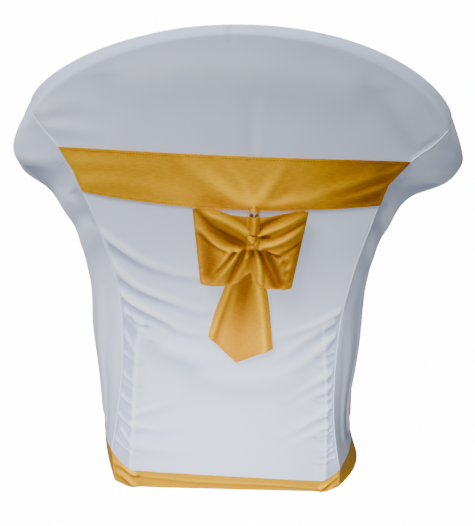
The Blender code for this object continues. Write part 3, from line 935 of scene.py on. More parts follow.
INNER_LEVELS = (
    InnerLevel(0.256, 0.050, 0.722, 0.256, 0.242, 0.640),
    InnerLevel(0.246, 0.064, 0.695, 0.243, 0.230, 0.612),
    InnerLevel(0.232, 0.076, 0.655, 0.233, 0.221, 0.575),
    InnerLevel(0.214, 0.088, 0.600, 0.222, 0.213, 0.540),
    InnerLevel(0.196, 0.104, 0.510, 0.209, 0.208, 0.480),
    InnerLevel(0.184, 0.118, 0.425, 0.201, 0.205, 0.432),
)
INNER_CROWNS = (0.851, 0.846, 0.800, 0.735, 0.650, 0.530, 0.422)
INNER_DEPTHS = (-0.024, -0.006, 0.004, 0.018, 0.040, 0.070, 0.100)

# The side panels' levels at which the seat and the hem band meet them.
SEAT_LEVEL = 6
HEM_LEVEL = 9
# Fine steps for each span of the nets, down the levels and forward along the stations.
LEVEL_STEPS = (5, 11, 15, 19, 24, 32, 38, 36, 30)
STATION_STEPS = (12, 16, 22, 20, 9, 6)
SPANS = 8
SPAN_STEPS = (16,) * SPANS
HEM_ROWS = 14


@dataclass(frozen=True)
class ChairForm:
    """The covered chair's shape: where each cloth panel lies."""

    back_plane: float = -0.2288
    rim_half: float = 0.018
    drop_length: float = 0.050
    dome_power: float = 0.76
    corner_depth: float = 0.058
    flank_depth: float = 0.140
    middle_depth: float = 0.290
    fore_depth: float = 0.428
    nose_setback: float = 0.014
    nose_share: float = 0.30
    inner_step: float = 0.030
    inner_second_share: float = 0.30
    seat_dish: float = 0.010
    seat_rear_bow: float = 0.018
    front_bulge: float = 0.012
    dome_levels: int = 5
    corner_sharpness: int = 12
    ridge_top: float = 0.370
    ridge_bottom_x: float = 0.183
    ridge_top_x: float = 0.150
    ridge_height: float = 0.0035
    ridge_width: float = 0.012
    ridge_fade: float = 0.08

    @staticmethod
    def eased(rows: Sequence[Profile], height: Array, column: str) -> Array:
        """Value of one profile column at a height, smooth from row to row.

        Args:
            rows: The profile.
            height: Heights.
            column: Name of the column.

        Returns:
            The value at each height.
        """
        heights = np.array([row.height for row in rows])
        values = np.array([getattr(row, column) for row in rows])
        slopes = np.gradient(values, heights)
        span = np.clip(np.searchsorted(heights, height) - 1, 0, len(heights) - 2)
        width = heights[span + 1] - heights[span]
        t = np.clip((height - heights[span]) / width, 0.0, 1.0)
        leave, arrive = width * slopes[span], width * slopes[span + 1]
        return hermite(t, values[span], values[span + 1], leave, arrive)

    def ridge_x(self, z: Array) -> Array:
        """How far out the ridge of a rear leg runs at a height."""
        share = np.clip(1.0 - z / self.ridge_top, 0.0, 1.0)
        return self.ridge_top_x + (self.ridge_bottom_x - self.ridge_top_x) * share

    def back_depth(self, x: Array, z: Array) -> Array:
        """Depth of the back cloth at a place across and up, with the ridges of the rear legs.

        Args:
            x: Places across.
            z: Heights.

        Returns:
            The depth at each place.
        """
        depth = self.eased(BACK_PROFILE, z, "depth") + self.eased(BACK_PROFILE, z, "curve") * x**2
        strength = np.clip((self.ridge_top - z) / self.ridge_fade, 0.0, 1.0)
        ridge = strength * hill(np.abs(x) - self.ridge_x(z), self.ridge_width)
        return self.back_plane + depth - self.ridge_height * ridge

    @staticmethod
    def across(count: int) -> Array:
        """Shares of the half width, closer together towards the side seams."""
        return np.sin(np.linspace(-0.5, 0.5, count) * math.pi)

    def back_place(self, rows: Array, share: Array, level: Array) -> tuple[Array, Array]:
        """Place across and up on the back, from its seams and crown at some levels.

        Args:
            rows: Seams, rear heights, crown and lean of each level.
            share: Shares of the half width.
            level: Number of each level.

        Returns:
            Grids of places across and up.
        """
        left, right, left_rear, right_rear, height, lean = (rows[:, item] for item in range(6))
        x = 0.5 * (right - left) + 0.5 * (right + left) * share
        rear = 0.5 * (left_rear + right_rear) + 0.5 * (right_rear - left_rear) * share
        arch = np.maximum(1.0 - share**2, 0.0) ** self.dome_power
        square = 1.0 - np.abs(share) ** self.corner_sharpness
        crown = height + lean * share
        return x, rear + (crown - rear) * np.where(level < self.dome_levels, arch, square)

    def back_sheet(self) -> Array:
        """The back cloth from the rim seam down to the top of the hem band."""
        levels = zip(LEFT_LEVELS, RIGHT_LEVELS, CROWNS)
        net = [(a.seam, b.seam, a.rear, b.rear, *crown) for a, b, crown in levels]
        rows = curve(net[:HEM_LEVEL + 1], LEVEL_STEPS)
        share = self.across(sum(SPAN_STEPS) + 1)[None, :]
        level = curve(np.arange(HEM_LEVEL + 1.0)[:, None], LEVEL_STEPS)
        x, z = self.back_place(rows[:, :, None], share, level)
        roll = self.rim_half * np.clip(1.0 - level, 0.0, 1.0) ** 2
        return np.stack((x, self.back_depth(x, z) + roll, z), axis=-1)

    def falling(self, front: float, rear: float, depth: float, start: float) -> float:
        """Height along a side: from the rear height it drops to the front one, then runs level."""
        return front + (rear - front) * math.exp(-(depth - start) / self.drop_length)

    def side_net(self, levels: Sequence[Level], side: int) -> Array:
        """Control points of one side, from its rear seam forward to its front seam.

        Args:
            levels: The side's levels, top first.
            side: -1 for the left side, 1 for the right.

        Returns:
            The net, one row for each level.
        """
        net = []
        for index, row in enumerate(levels):
            seam_x = side * row.seam
            seam_y = float(self.back_depth(seam_x, row.rear))
            if index == 0:
                seam_y += self.rim_half
            start = seam_y - self.back_plane
            corner_x = row.fore + (row.edge - row.fore) * self.nose_share
            stations = (
                (row.corner, self.corner_depth),
                (row.flank, self.flank_depth),
                (0.5 * (row.flank + row.fore), self.middle_depth),
                (row.fore, self.fore_depth),
                (corner_x, row.nose - self.nose_setback),
                (row.edge, row.nose),
            )
            points = [(seam_x, seam_y, row.rear)]
            for half, depth in stations:
                height = self.falling(row.front, row.rear, depth, start)
                points.append((side * half, self.back_plane + depth, height))
            net.append(points)
        return np.array(net)

    def inner_arm_net(self, outer: Array, side: int) -> Array:
        """Control points of an inner arm: its top row is the arm seam of the side panel.

        Args:
            outer: The side panel's net down to the seat.
            side: -1 for the left side, 1 for the right.

        Returns:
            The net, one row for each level.
        """
        net = [list(map(tuple, outer[0]))]
        for index, row in enumerate(INNER_LEVELS, start=1):
            front_seam = outer[index][-1]
            nose_depth = front_seam[1] - self.back_plane - self.nose_setback
            fore_depth = min(self.fore_depth, nose_depth - self.nose_setback)
            second = row.rear_half + self.inner_second_share * (row.flank - row.rear_half)
            stations = (
                (row.rear_half, row.rear_depth),
                (second, row.rear_depth + self.inner_step),
                (row.flank, self.flank_depth + self.inner_step),
                (0.5 * (row.flank + row.fore), self.middle_depth),
                (row.fore, fore_depth),
                (row.fore + (abs(front_seam[0]) - row.fore) * self.nose_share, nose_depth),
            )
            points = []
            for half, depth in stations:
                height = self.falling(row.front, row.rear_height, depth, row.rear_depth)
                points.append((side * half, self.back_plane + depth, height))
            points.append(tuple(front_seam))
            net.append(points)
        return np.array(net)

    def inner_back_net(self, left_arm: Array, right_arm: Array) -> Array:
        """Control points of the inner back, between the rear corners of the inner arms.

        Args:
            left_arm: Net of the left inner arm.
            right_arm: Net of the right inner arm.

        Returns:
            The net, top row first.
        """
        net = []
        for row, (left, right) in enumerate(zip(left_arm[:, 0], right_arm[:, 0])):
            points = []
            for share in self.across(SPANS + 1):
                arch = max(1.0 - share**2, 0.0) ** self.dome_power
                end = left + (right - left) * 0.5 * (1.0 + share)
                crown = INNER_CROWNS[row] + CROWNS[row].lean * share
                height = end[2] + (crown - end[2]) * arch
                middle = self.back_plane + INNER_DEPTHS[row]
                points.append((end[0], end[1] + (middle - end[1]) * (1.0 - share**2), height))
            net.append(points)
        return np.array(net)

    def seat_net(self, left_arm: Array, right_arm: Array, inner_back: Array, front: Array) -> Array:
        """Control points of the seat, rear row first.

        Args:
            left_arm: Net of the left inner arm.
            right_arm: Net of the right inner arm.
            inner_back: Net of the inner back.
            front: The seat's front row.

        Returns:
            The net.
        """
        left, right = left_arm[-1], right_arm[-1]
        net = []
        for index in range(len(left)):
            forward = index / (len(left) - 1)
            points = []
            for share in self.across(SPANS + 1):
                point = left[index] + (right[index] - left[index]) * 0.5 * (1.0 + share)
                inside = 1.0 - share**2
                point[1] += self.front_bulge * forward * inside
                point[1] -= self.seat_rear_bow * (1.0 - forward) ** 2 * inside
                point[2] -= self.seat_dish * math.sin(math.pi * forward) * inside
                points.append(tuple(point))
            net.append(points)
        net = np.array(net)
        net[0] = inner_back[-1]
        net[-1] = front
        return net

    def front_net(self, left: Array, right: Array) -> Array:
        """Control points across the front between the two front seams.

        Args:
            left: Points down the left front seam.
            right: Points down the right front seam.

        Returns:
            The net, top row first.
        """
        shares = self.across(SPANS + 1)[None, :, None]
        net = left[:, None] + (right - left)[:, None] * 0.5 * (1.0 + shares)
        net[:, :, 1] += self.front_bulge * (1.0 - shares[:, :, 0] ** 2)
        return net

    def sheets(self) -> dict[str, Array]:
        """All sheets of the cover by node name, facing outwards, with seams that coincide."""
        left_net = self.side_net(LEFT_LEVELS, -1)
        right_net = self.side_net(RIGHT_LEVELS, 1)
        back = self.back_sheet()
        sides = {}
        for name, net, edge in (("left", left_net, back[:, 0]), ("right", right_net, back[:, -1])):
            panel = sheet(net[:HEM_LEVEL + 1], LEVEL_STEPS, STATION_STEPS)
            panel[:, 0] = edge
            sides[name] = panel
        seat_row = sum(LEVEL_STEPS[:SEAT_LEVEL])
        left_arm_net = self.inner_arm_net(left_net[:SEAT_LEVEL + 1], -1)
        right_arm_net = self.inner_arm_net(right_net[:SEAT_LEVEL + 1], 1)
        inner_net = self.inner_back_net(left_arm_net, right_arm_net)
        fronts = self.front_net(left_net[SEAT_LEVEL:, -1], right_net[SEAT_LEVEL:, -1])
        inner = sheet(inner_net, LEVEL_STEPS[:SEAT_LEVEL], SPAN_STEPS)
        inner[0] = back[0]
        arms = {}
        for name, net, column in (("left", left_arm_net, 0), ("right", right_arm_net, -1)):
            arm = sheet(net, LEVEL_STEPS[:SEAT_LEVEL], STATION_STEPS)
            arm[0] = sides[name][0]
            arm[:, 0] = inner[:, column]
            arm[:, -1] = sides[name][:seat_row + 1, -1]
            arms[name] = arm
        skirt = sheet(fronts[:HEM_LEVEL - SEAT_LEVEL + 1], LEVEL_STEPS[SEAT_LEVEL:], SPAN_STEPS)
        skirt[:, 0] = sides["left"][seat_row:, -1]
        skirt[:, -1] = sides["right"][seat_row:, -1]
        net = self.seat_net(left_arm_net, right_arm_net, inner_net, fronts[0])
        seat = sheet(net, STATION_STEPS, SPAN_STEPS)
        seat[0] = inner[-1]
        seat[-1] = skirt[0]
        seat[:, 0] = arms["left"][-1]
        seat[:, -1] = arms["right"][-1]
        return {
            "cover_back": back,
            "cover_side_left": sides["left"][:, ::-1],
            "cover_side_right": sides["right"],
            "inner_back": inner[:, ::-1],
            "inner_arm_left": arms["left"],
            "inner_arm_right": arms["right"][:, ::-1],
            "seat_panel": seat[:, ::-1],
            "front_skirt": skirt[:, ::-1],
            **self.hem_sheets(back, sides, skirt, (left_net, right_net, fronts)),
        }

    def hem_sheets(self, back: Array, sides: dict[str, Array], skirt: Array,
                   nets: tuple[Array, Array, Array]) -> dict[str, Array]:
        """The four gold bands, from the last level of the white cloth down to the floor.

        Args:
            back: The back sheet.
            sides: The side sheets by name.
            skirt: The front skirt.
            nets: Nets of the left side, the right side and the front.

        Returns:
            The sheets by node name.
        """
        left_net, right_net, fronts = nets
        edge_left = curve(left_net[-1], STATION_STEPS)
        edge_right = curve(right_net[-1], STATION_STEPS)
        left, right = LEFT_LEVELS[-1], RIGHT_LEVELS[-1]
        last = np.array([[left.seam, right.seam, left.rear, right.rear, *CROWNS[-1]]])
        share = self.across(sum(SPAN_STEPS) + 1)[None]
        x, z = self.back_place(last[:, :, None], share, np.array([[float(HEM_LEVEL)]]))
        edge_back = np.stack((x, self.back_depth(x, z), z), axis=-1)[0]
        edge_left[0], edge_right[0] = edge_back[0], edge_back[-1]
        edge_front = curve(fronts[-1], SPAN_STEPS)
        edge_front[0], edge_front[-1] = edge_left[-1], edge_right[-1]

        def band(top: Array, bottom: Array) -> Array:
            """Rows from one edge to the other."""
            down = np.linspace(0.0, 1.0, HEM_ROWS + 1)[:, None, None]
            return top[None] + (bottom - top)[None] * down

        return {
            "hem_back": band(back[-1], edge_back),
            "hem_left": band(sides["left"][-1], edge_left)[:, ::-1],
            "hem_right": band(sides["right"][-1], edge_right),
            "hem_front": band(skirt[-1], edge_front)[:, ::-1],
        }


FORM = ChairForm()


# ---- creases of the white cloth --------------------------------------------------------------
# On the back, places are (across, up); every path runs from left to right, so a ridge has its
# trough below it.
BACK_CREASES = (
    # long drag lines from the left side seam towards the bow
    Crease(((-0.186, 0.556), (-0.156, 0.531), (-0.125, 0.510), (-0.089, 0.498), (-0.040, 0.494)),
           0.0075, 0.0028, 1.0, 0.25, 0.7),
    Crease(((-0.180, 0.503), (-0.159, 0.477), (-0.129, 0.453), (-0.092, 0.440), (-0.042, 0.424)),
           0.0070, 0.0026, 1.0, 0.3, 0.7),
    Crease(((-0.176, 0.482), (-0.150, 0.462), (-0.110, 0.446), (-0.080, 0.430), (-0.045, 0.414)),
           0.0060, 0.0014, 0.8, 0.2, 0.6),
    Crease(((-0.172, 0.442), (-0.142, 0.417), (-0.103, 0.398), (-0.078, 0.381), (-0.039, 0.374)),
           0.0060, 0.0030, 1.0, 0.15, 0.8),
    Crease(((-0.160, 0.432), (-0.128, 0.414), (-0.095, 0.404)), 0.0050, 0.0014, 0.8, 0.1, 0.5),
    # hook where the leg ridge begins
    Crease(((-0.166, 0.408), (-0.152, 0.394), (-0.139, 0.386)), 0.0042, 0.0030, 1.0, 0.6, 0.8),
    Crease(((-0.150, 0.392), (-0.142, 0.372), (-0.140, 0.352)), 0.0045, 0.0020, 0.8, 0.1, 0.5),
    # soft drags low on the left
    Crease(((-0.170, 0.196), (-0.124, 0.212), (-0.088, 0.243)), 0.0070, 0.0012, 0.9, 0.1, 0.6),
    Crease(((-0.172, 0.172), (-0.122, 0.160), (-0.082, 0.171)), 0.0070, 0.0013, 0.9, 0.1, 0.6),
    Crease(((-0.165, 0.120), (-0.110, 0.112), (-0.060, 0.125)), 0.0110, 0.0010, 0.6, 0.1, 0.5),
    # drags that fan down and in from the right side seam
    Crease(((0.060, 0.372), (0.098, 0.386), (0.131, 0.400), (0.167, 0.427)),
           0.0065, 0.0022, 0.15, 1.0, 0.7),
    Crease(((0.071, 0.326), (0.117, 0.371), (0.160, 0.405)), 0.0065, 0.0022, 0.15, 1.0, 0.7),
    Crease(((0.073, 0.290), (0.124, 0.330), (0.163, 0.378)), 0.0068, 0.0020, 0.1, 1.0, 0.7),
    Crease(((0.096, 0.244), (0.135, 0.279), (0.167, 0.309)), 0.0062, 0.0019, 0.1, 1.0, 0.7),
    Crease(((0.105, 0.222), (0.140, 0.252), (0.168, 0.278)), 0.0050, 0.0012, 0.1, 1.0, 0.6),
    Crease(((0.094, 0.160), (0.122, 0.180), (0.171, 0.229)), 0.0062, 0.0017, 0.1, 1.0, 0.7),
    Crease(((0.112, 0.136), (0.140, 0.160), (0.171, 0.190)), 0.0060, 0.0013, 0.1, 1.0, 0.6),
    # slack under the tail, and a long slow sag across
    Crease(((-0.030, 0.300), (0.030, 0.288), (0.090, 0.300)), 0.0200, 0.0014, 0.5, 0.5, 0.5),
    Crease(((-0.100, 0.345), (-0.040, 0.330), (0.010, 0.325)), 0.0150, 0.0014, 0.9, 0.2, 0.6),
    # above the sash: a faint upright fold, soft slants by the right rim, a tuck at the top
    Crease(((0.028, 0.770), (0.030, 0.704)), 0.0060, 0.0007, 0.3, 1.0, 0.6),
    Crease(((0.166, 0.790), (0.202, 0.757), (0.236, 0.716)), 0.0100, 0.0008, 0.4, 1.0, 0.6),
    Crease(((0.196, 0.785), (0.224, 0.752), (0.248, 0.722)), 0.0070, 0.0006, 0.3, 1.0, 0.6),
    Crease(((-0.246, 0.730), (-0.215, 0.745), (-0.170, 0.752)), 0.0090, 0.0008, 1.0, 0.1, 0.6),
    Crease(((-0.240, 0.712), (-0.200, 0.716), (-0.150, 0.712)), 0.0100, 0.0010, 1.0, 0.1, 0.5),
    Crease(((-0.0115, 0.856), (-0.0110, 0.838)), 0.0022, -0.0012, 1.0, 0.4, 0.3),
    Crease(((-0.120, 0.795), (0.000, 0.808), (0.130, 0.792)), 0.0200, 0.0012, 0.4, 0.4, 0.6),
    # upright seams pressed by the rear legs
    Crease(((-0.146, 0.372), (-0.151, 0.340), (-0.159, 0.260), (-0.170, 0.150), (-0.179, 0.055)),
           0.0030, 0.0016, 0.7, 0.9, 0.3),
    Crease(((0.146, 0.400), (0.152, 0.350), (0.160, 0.290), (0.170, 0.190), (0.181, 0.055)),
           0.0028, 0.0016, 0.4, 1.0, 0.3),
)


@dataclass(frozen=True)
class Ladder:
    """A strip of small slanting puckers beside a rear leg."""

    side: int
    count: int
    top: float
    bottom: float
    reach_in: float
    reach_out: float
    drop: float
    width: float
    height: float
    salt: float
    sag: float = 0.62
    inner_strength: float = 0.25
    hollow: float = 0.9

    def creases(self) -> list[Crease]:
        """The puckers, each a little different."""
        result = []
        for index in range(self.count):
            share = (index + between(0.0, 0.6, index, self.salt)) / self.count
            z = self.top + (self.bottom - self.top) * share
            ridge = float(FORM.ridge_x(np.array(z)))
            inner = ridge - self.reach_in * between(0.6, 1.4, index, self.salt + 1.0)
            outer = ridge + self.reach_out * between(0.8, 1.2, index, self.salt + 2.0)
            drop = self.drop * between(0.6, 1.4, index, self.salt + 3.0)
            height = self.height * between(0.6, 1.3, index, self.salt + 4.0)
            near = (self.side * inner, z - drop)
            far = (self.side * outer, z)
            middle = (0.5 * (near[0] + far[0]), z - self.sag * drop)
            path, strength = (near, middle, far), (self.inner_strength, 1.0)
            if self.side < 0:
                path, strength = path[::-1], strength[::-1]
            result.append(Crease(path, self.width, height, *strength, self.hollow))
        return result


LADDERS = (
    Ladder(1, 17, 0.412, 0.100, 0.007, 0.020, 0.020, 0.0034, 0.0021, 1.0),
    Ladder(-1, 9, 0.405, 0.110, 0.002, 0.026, 0.036, 0.0046, 0.0022, 5.0),
)

# On a side, places are (depth from the back plane, up).
SIDE_CREASES = (
    Crease(((0.030, 0.440), (0.034, 0.300), (0.026, 0.120)), 0.0070, 0.0026, 0.2, 0.8, 0.7),
    Crease(((0.062, 0.470), (0.070, 0.300), (0.066, 0.100)), 0.0080, 0.0028, 0.2, 1.0, 0.7),
    Crease(((0.104, 0.420), (0.114, 0.250), (0.110, 0.080)), 0.0090, 0.0026, 0.2, 1.0, 0.7),
    Crease(((0.170, 0.380), (0.176, 0.220), (0.170, 0.070)), 0.0110, 0.0026, 0.1, 1.0, 0.6),
    Crease(((0.250, 0.340), (0.246, 0.200), (0.252, 0.060)), 0.0120, 0.0022, 0.1, 1.0, 0.6),
    Crease(((0.330, 0.400), (0.338, 0.240), (0.332, 0.060)), 0.0120, 0.0024, 0.1, 1.0, 0.6),
    Crease(((0.420, 0.560), (0.430, 0.340), (0.428, 0.060)), 0.0110, 0.0026, 0.3, 1.0, 0.6),
    # pulls from the sleeve-like lobe down towards the seat
    Crease(((0.020, 0.600), (0.070, 0.540), (0.150, 0.500)), 0.0110, 0.0030, 0.9, 0.1, 0.6),
    Crease(((0.010, 0.560), (0.060, 0.490), (0.140, 0.440)), 0.0100, 0.0024, 0.9, 0.1, 0.6),
    Crease(((0.060, 0.620), (0.140, 0.575), (0.260, 0.560)), 0.0130, 0.0026, 0.8, 0.1, 0.6),
    Crease(((0.020, 0.655), (0.060, 0.640), (0.110, 0.620)), 0.0090, 0.0020, 0.9, 0.2, 0.6),
    Crease(((0.360, 0.560), (0.410, 0.600), (0.450, 0.625)), 0.0100, 0.0018, 0.1, 0.9, 0.6),
)
# On the inner back places are (across, up); on the seat (across, depth from the back plane).
INNER_BACK_CREASES = (
    Crease(((-0.205, 0.440), (-0.130, 0.520), (-0.040, 0.570)), 0.0120, 0.0022, 1.0, 0.1, 0.6),
    Crease(((0.050, 0.575), (0.130, 0.525), (0.205, 0.440)), 0.0120, 0.0022, 0.1, 1.0, 0.6),
    Crease(((-0.235, 0.640), (-0.160, 0.655), (-0.060, 0.640)), 0.0140, 0.0018, 1.0, 0.1, 0.6),
    Crease(((0.060, 0.650), (0.160, 0.660), (0.235, 0.645)), 0.0140, 0.0018, 0.1, 1.0, 0.6),
    Crease(((-0.150, 0.460), (-0.080, 0.500), (0.000, 0.515)), 0.0100, 0.0014, 0.9, 0.1, 0.6),
    Crease(((0.010, 0.480), (0.090, 0.480), (0.170, 0.455)), 0.0100, 0.0014, 0.1, 0.9, 0.6),
)
SEAT_CREASES = (
    Crease(((-0.190, 0.140), (-0.120, 0.210), (-0.040, 0.250)), 0.0130, 0.0020, 1.0, 0.1, 0.6),
    Crease(((0.040, 0.250), (0.120, 0.210), (0.190, 0.140)), 0.0130, 0.0020, 0.1, 1.0, 0.6),
    Crease(((-0.205, 0.430), (-0.130, 0.380), (-0.050, 0.360)), 0.0130, 0.0018, 1.0, 0.1, 0.6),
    Crease(((0.050, 0.365), (0.130, 0.385), (0.205, 0.430)), 0.0130, 0.0018, 0.1, 1.0, 0.6),
    Crease(((-0.120, 0.300), (0.000, 0.290), (0.130, 0.305)), 0.0160, 0.0012, 0.4, 0.4, 0.5),
)
SKIRT_CREASES = (
    Crease(((-0.205, 0.400), (-0.190, 0.240), (-0.200, 0.050)), 0.0110, 0.0030, 0.4, 1.0, 0.6),
    Crease(((-0.120, 0.300), (-0.112, 0.180), (-0.124, 0.050)), 0.0130, 0.0026, 0.1, 1.0, 0.6),
    Crease(((-0.040, 0.260), (-0.046, 0.160), (-0.036, 0.050)), 0.0130, 0.0022, 0.1, 1.0, 0.6),
    Crease(((0.056, 0.320), (0.050, 0.180), (0.060, 0.050)), 0.0140, 0.0026, 0.1, 1.0, 0.6),
    Crease(((0.140, 0.280), (0.148, 0.170), (0.138, 0.050)), 0.0120, 0.0024, 0.1, 1.0, 0.6),
    Crease(((0.200, 0.400), (0.192, 0.240), (0.204, 0.050)), 0.0110, 0.0030, 0.4, 1.0, 0.6),
    Crease(((-0.220, 0.410), (-0.140, 0.380), (-0.060, 0.372)), 0.0090, 0.0014, 1.0, 0.1, 0.6),
    Crease(((0.060, 0.374), (0.150, 0.384), (0.220, 0.410)), 0.0090, 0.0014, 0.1, 1.0, 0.6),
)


class Measure(Enum):
    """Which two of a panel's directions its creases are placed in."""

    ACROSS_UP = "across and up"
    DEPTH_UP = "depth and up"
    ACROSS_DEPTH = "across and depth"

    def of(self, points: Array) -> tuple[Array, Array]:
        """The two measures of a sheet's points."""
        depth = points[..., 1] - FORM.back_plane
        if self is Measure.ACROSS_UP:
            return points[..., 0], points[..., 2]
        if self is Measure.DEPTH_UP:
            return depth, points[..., 2]
        return points[..., 0], depth


@dataclass(frozen=True)
class PanelPlan:
    """What one panel of the cover carries."""

    measure: Measure
    creases: tuple[Crease, ...]
    slack: float
    salt: float
    slot: Slot = Slot.WHITE
    thickness: float = CLOTH
    fade: float = 0.006
    gain: float = 1.0


@dataclass
class Cover:
    """The white cover and its gold hem band."""

    materials: Materials
    trim: Trim
    piping: float = 0.0011
    piping_proud: float = 0.0002
    strip_shade: float = 0.95
    strip_top: float = 0.46
    strip_fade: float = 0.08
    strip_edge: float = 0.010
    rim_shade: float = 0.55
    rim_bottom: float = 0.60
    rim_fade: float = 0.05
    rim_slope: tuple[float, float] = (0.30, 0.55)
    # Painted highlight on the piping of the seams.
    seam_highlight: float = 0.7
    ripple_size: float = 0.16
    # Crease height at which the painted shade or painted highlight is full.
    full_fold: float = 0.0020
    panels: dict[str, Array] = field(default_factory=dict)

    def plans(self) -> dict[str, PanelPlan]:
        """The plan of every panel by node name."""
        ladder = tuple(crease for strip in LADDERS for crease in strip.creases())
        up, depth = Measure.ACROSS_UP, Measure.DEPTH_UP
        hem = dict(slot=Slot.HEM, thickness=SATIN, fade=0.004)
        return {
            "cover_back": PanelPlan(up, BACK_CREASES + ladder, 0.0005, 0.3, gain=1.6),
            "cover_side_left": PanelPlan(depth, SIDE_CREASES, 0.0008, 1.1),
            "cover_side_right": PanelPlan(depth, self.shifted(SIDE_CREASES, 0.012), 0.0008, 2.7),
            "inner_back": PanelPlan(up, INNER_BACK_CREASES, 0.0008, 3.9),
            "inner_arm_left": PanelPlan(depth, (), 0.0010, 4.2),
            "inner_arm_right": PanelPlan(depth, (), 0.0010, 5.8),
            "seat_panel": PanelPlan(Measure.ACROSS_DEPTH, SEAT_CREASES, 0.0008, 6.1),
            "front_skirt": PanelPlan(up, SKIRT_CREASES, 0.0010, 7.4),
            "hem_back": PanelPlan(up, self.hem_creases(LEFT_LEVELS[HEM_LEVEL].seam), 0.0004, 8.2, **hem),
            "hem_left": PanelPlan(depth, (), 0.0010, 9.5, **hem),
            "hem_right": PanelPlan(depth, (), 0.0010, 0.9, **hem),
            "hem_front": PanelPlan(up, (), 0.0012, 2.2, **hem),
        }

    @staticmethod
    def shifted(creases: Sequence[Crease], step: float) -> tuple[Crease, ...]:
        """The same creases moved a little forward and made a little weaker, one by one.

        Args:
            creases: The creases.
            step: The furthest move.

        Returns:
            The moved creases.
        """
        result = []
        for index, crease in enumerate(creases):
            move = between(-step, step, index, 2.0)
            path = tuple((first + move, second) for first, second in crease.path)
            height = crease.height * between(0.7, 1.2, index, 4.0)
            result.append(crease._replace(path=path, height=height))
        return tuple(result)

    @staticmethod
    def hem_creases(half: float) -> tuple[Crease, ...]:
        """The band's turned-up fold and the pinches at its corners.

        Args:
            half: Half width of the back at the band.

        Returns:
            The creases.
        """
        return (
            Crease(((-0.170, 0.034), (-0.060, 0.027), (0.060, 0.028), (0.180, 0.026)),
                   0.0030, 0.0014, 0.8, 0.8, 0.8),
            Crease(((-half, 0.072), (-0.186, 0.050), (-0.172, 0.040)), 0.0042, 0.0040, 0.3, 1.0, 0.8),
            Crease(((-0.205, 0.040), (-0.188, 0.026), (-0.176, 0.012)), 0.0050, 0.0030, 0.5, 1.0, 0.8),
            Crease(((0.176, 0.030), (0.190, 0.045), (half - 0.004, 0.066)), 0.0042, 0.0036, 1.0, 0.3, 0.8),
            Crease(((0.190, 0.022), (0.200, 0.036), (half - 0.002, 0.050)), 0.0030, 0.0024, 1.0, 0.4, 0.8),
            Crease(((-0.120, 0.018), (-0.020, 0.015), (0.090, 0.016)), 0.0030, -0.0007, 0.5, 0.5, 0.3),
        )

    def build(self) -> None:
        """Builds every panel and the seams between them."""
        base = FORM.sheets()
        smooth = shared_normals(base)
        heights, moved = {}, {}
        for name, plan in self.plans().items():
            points = base[name]
            first, second = plan.measure.of(points)
            height = plan.gain * relief(first, second, plan.creases)
            # The creases alone, without the slack, set the painted shade and highlights.
            heights[name] = height * edge_fade(points, plan.fade)
            height = height + plan.slack * ripple(first, second, self.ripple_size, plan.salt)
            height *= edge_fade(points, plan.fade)
            moved[name] = points + unit(smooth[name]) * height[..., None]
        normals = shared_normals(moved)
        for name, plan in self.plans().items():
            self.add_panel(name, plan, moved[name], normals[name], heights[name])
        self.panels = moved
        self.add_seams(normals)

    def add_panel(self, name: str, plan: PanelPlan, points: Array, normals: Array, height: Array) -> None:
        """Adds one panel as a closed sheet.

        Args:
            name: The frame's node that it stands for.
            plan: Its plan.
            points: Middle of the cloth.
            normals: Outward normals.
            height: How far each point stands out of the smooth sheet.
        """
        middle = pulled_in(points, normals)
        # Painted shade in the creases' troughs, painted highlights on their ridges, and painted shade where
        # the cloth turns from the light.
        fold = np.clip(height / self.full_fold + self.turned_away_shade(name, points, normals), -1.0, 1.0)
        mesh = slab_mesh(name, middle, normals, plan.thickness, fold)
        piece = place_piece("cloth_" + name, mesh, self.materials[plan.slot], (name,))

    def turned_away_shade(self, name: str, points: Array, normals: Array) -> Array:
        """Painted shade on the rim and on the strips beside the rear legs, where the cloth turns away from
        the light.

        Args:
            name: The panel's node.
            points: Middle of the cloth.
            normals: Outward normals.

        Returns:
            A change of the fold attribute at each point.
        """
        # Painted shade: upward-facing rim cloth and the strips beyond the leg ridges are painted darker.
        x, z = points[..., 0], points[..., 2]
        if name != "cover_back":
            return np.zeros_like(x)
        beyond = ease((np.abs(x) - FORM.ridge_x(z)) / self.strip_edge)
        strips = self.strip_shade * beyond * ease((self.strip_top - z) / self.strip_fade)
        least, most = self.rim_slope
        upward = ease((unit(normals)[..., 2] - least) / (most - least))
        rim = self.rim_shade * upward * ease((z - self.rim_bottom) / self.rim_fade)
        return -strips - rim

    def add_seams(self, normals: dict[str, Array]) -> None:
        """Adds the rolls of cloth along the seams.

        Args:
            normals: Outward normals by panel.
        """
        first_row, first_column, last_column = np.s_[0], np.s_[:, 0], np.s_[:, -1]

        def raised(name: str, part: object) -> Array:
            """One edge of a panel, lifted out of the cloth a little."""
            return self.panels[name][part] + unit(normals[name][part]) * self.piping_proud

        left = raised("cover_back", first_column)
        right = raised("cover_back", last_column)
        rim = raised("cover_back", first_row)
        arms = [raised("inner_arm_left", first_row), raised("inner_arm_right", first_row)]
        fronts = [raised("front_skirt", part) for part in (first_column, last_column, first_row)]
        noses = [raised("inner_arm_left", last_column), raised("inner_arm_right", first_column)]
        # The piping is painted lighter: a painted highlight along each seam roll.
        pipe = dict(tree=self.trim.piping, slot=Slot.WHITE, fold=self.seam_highlight, Radius=self.piping)
        self.trim.along("seam_side_left", [left[2:]], **pipe)
        self.trim.along("seam_side_right", [right[2:]], **pipe)
        self.trim.along("seam_rim", [rim], **pipe)
        self.trim.along("seam_arms", [arm[1:-1] for arm in arms], **pipe)
        self.trim.along("seam_front", [front[1:-1] for front in fronts + noses], **pipe)


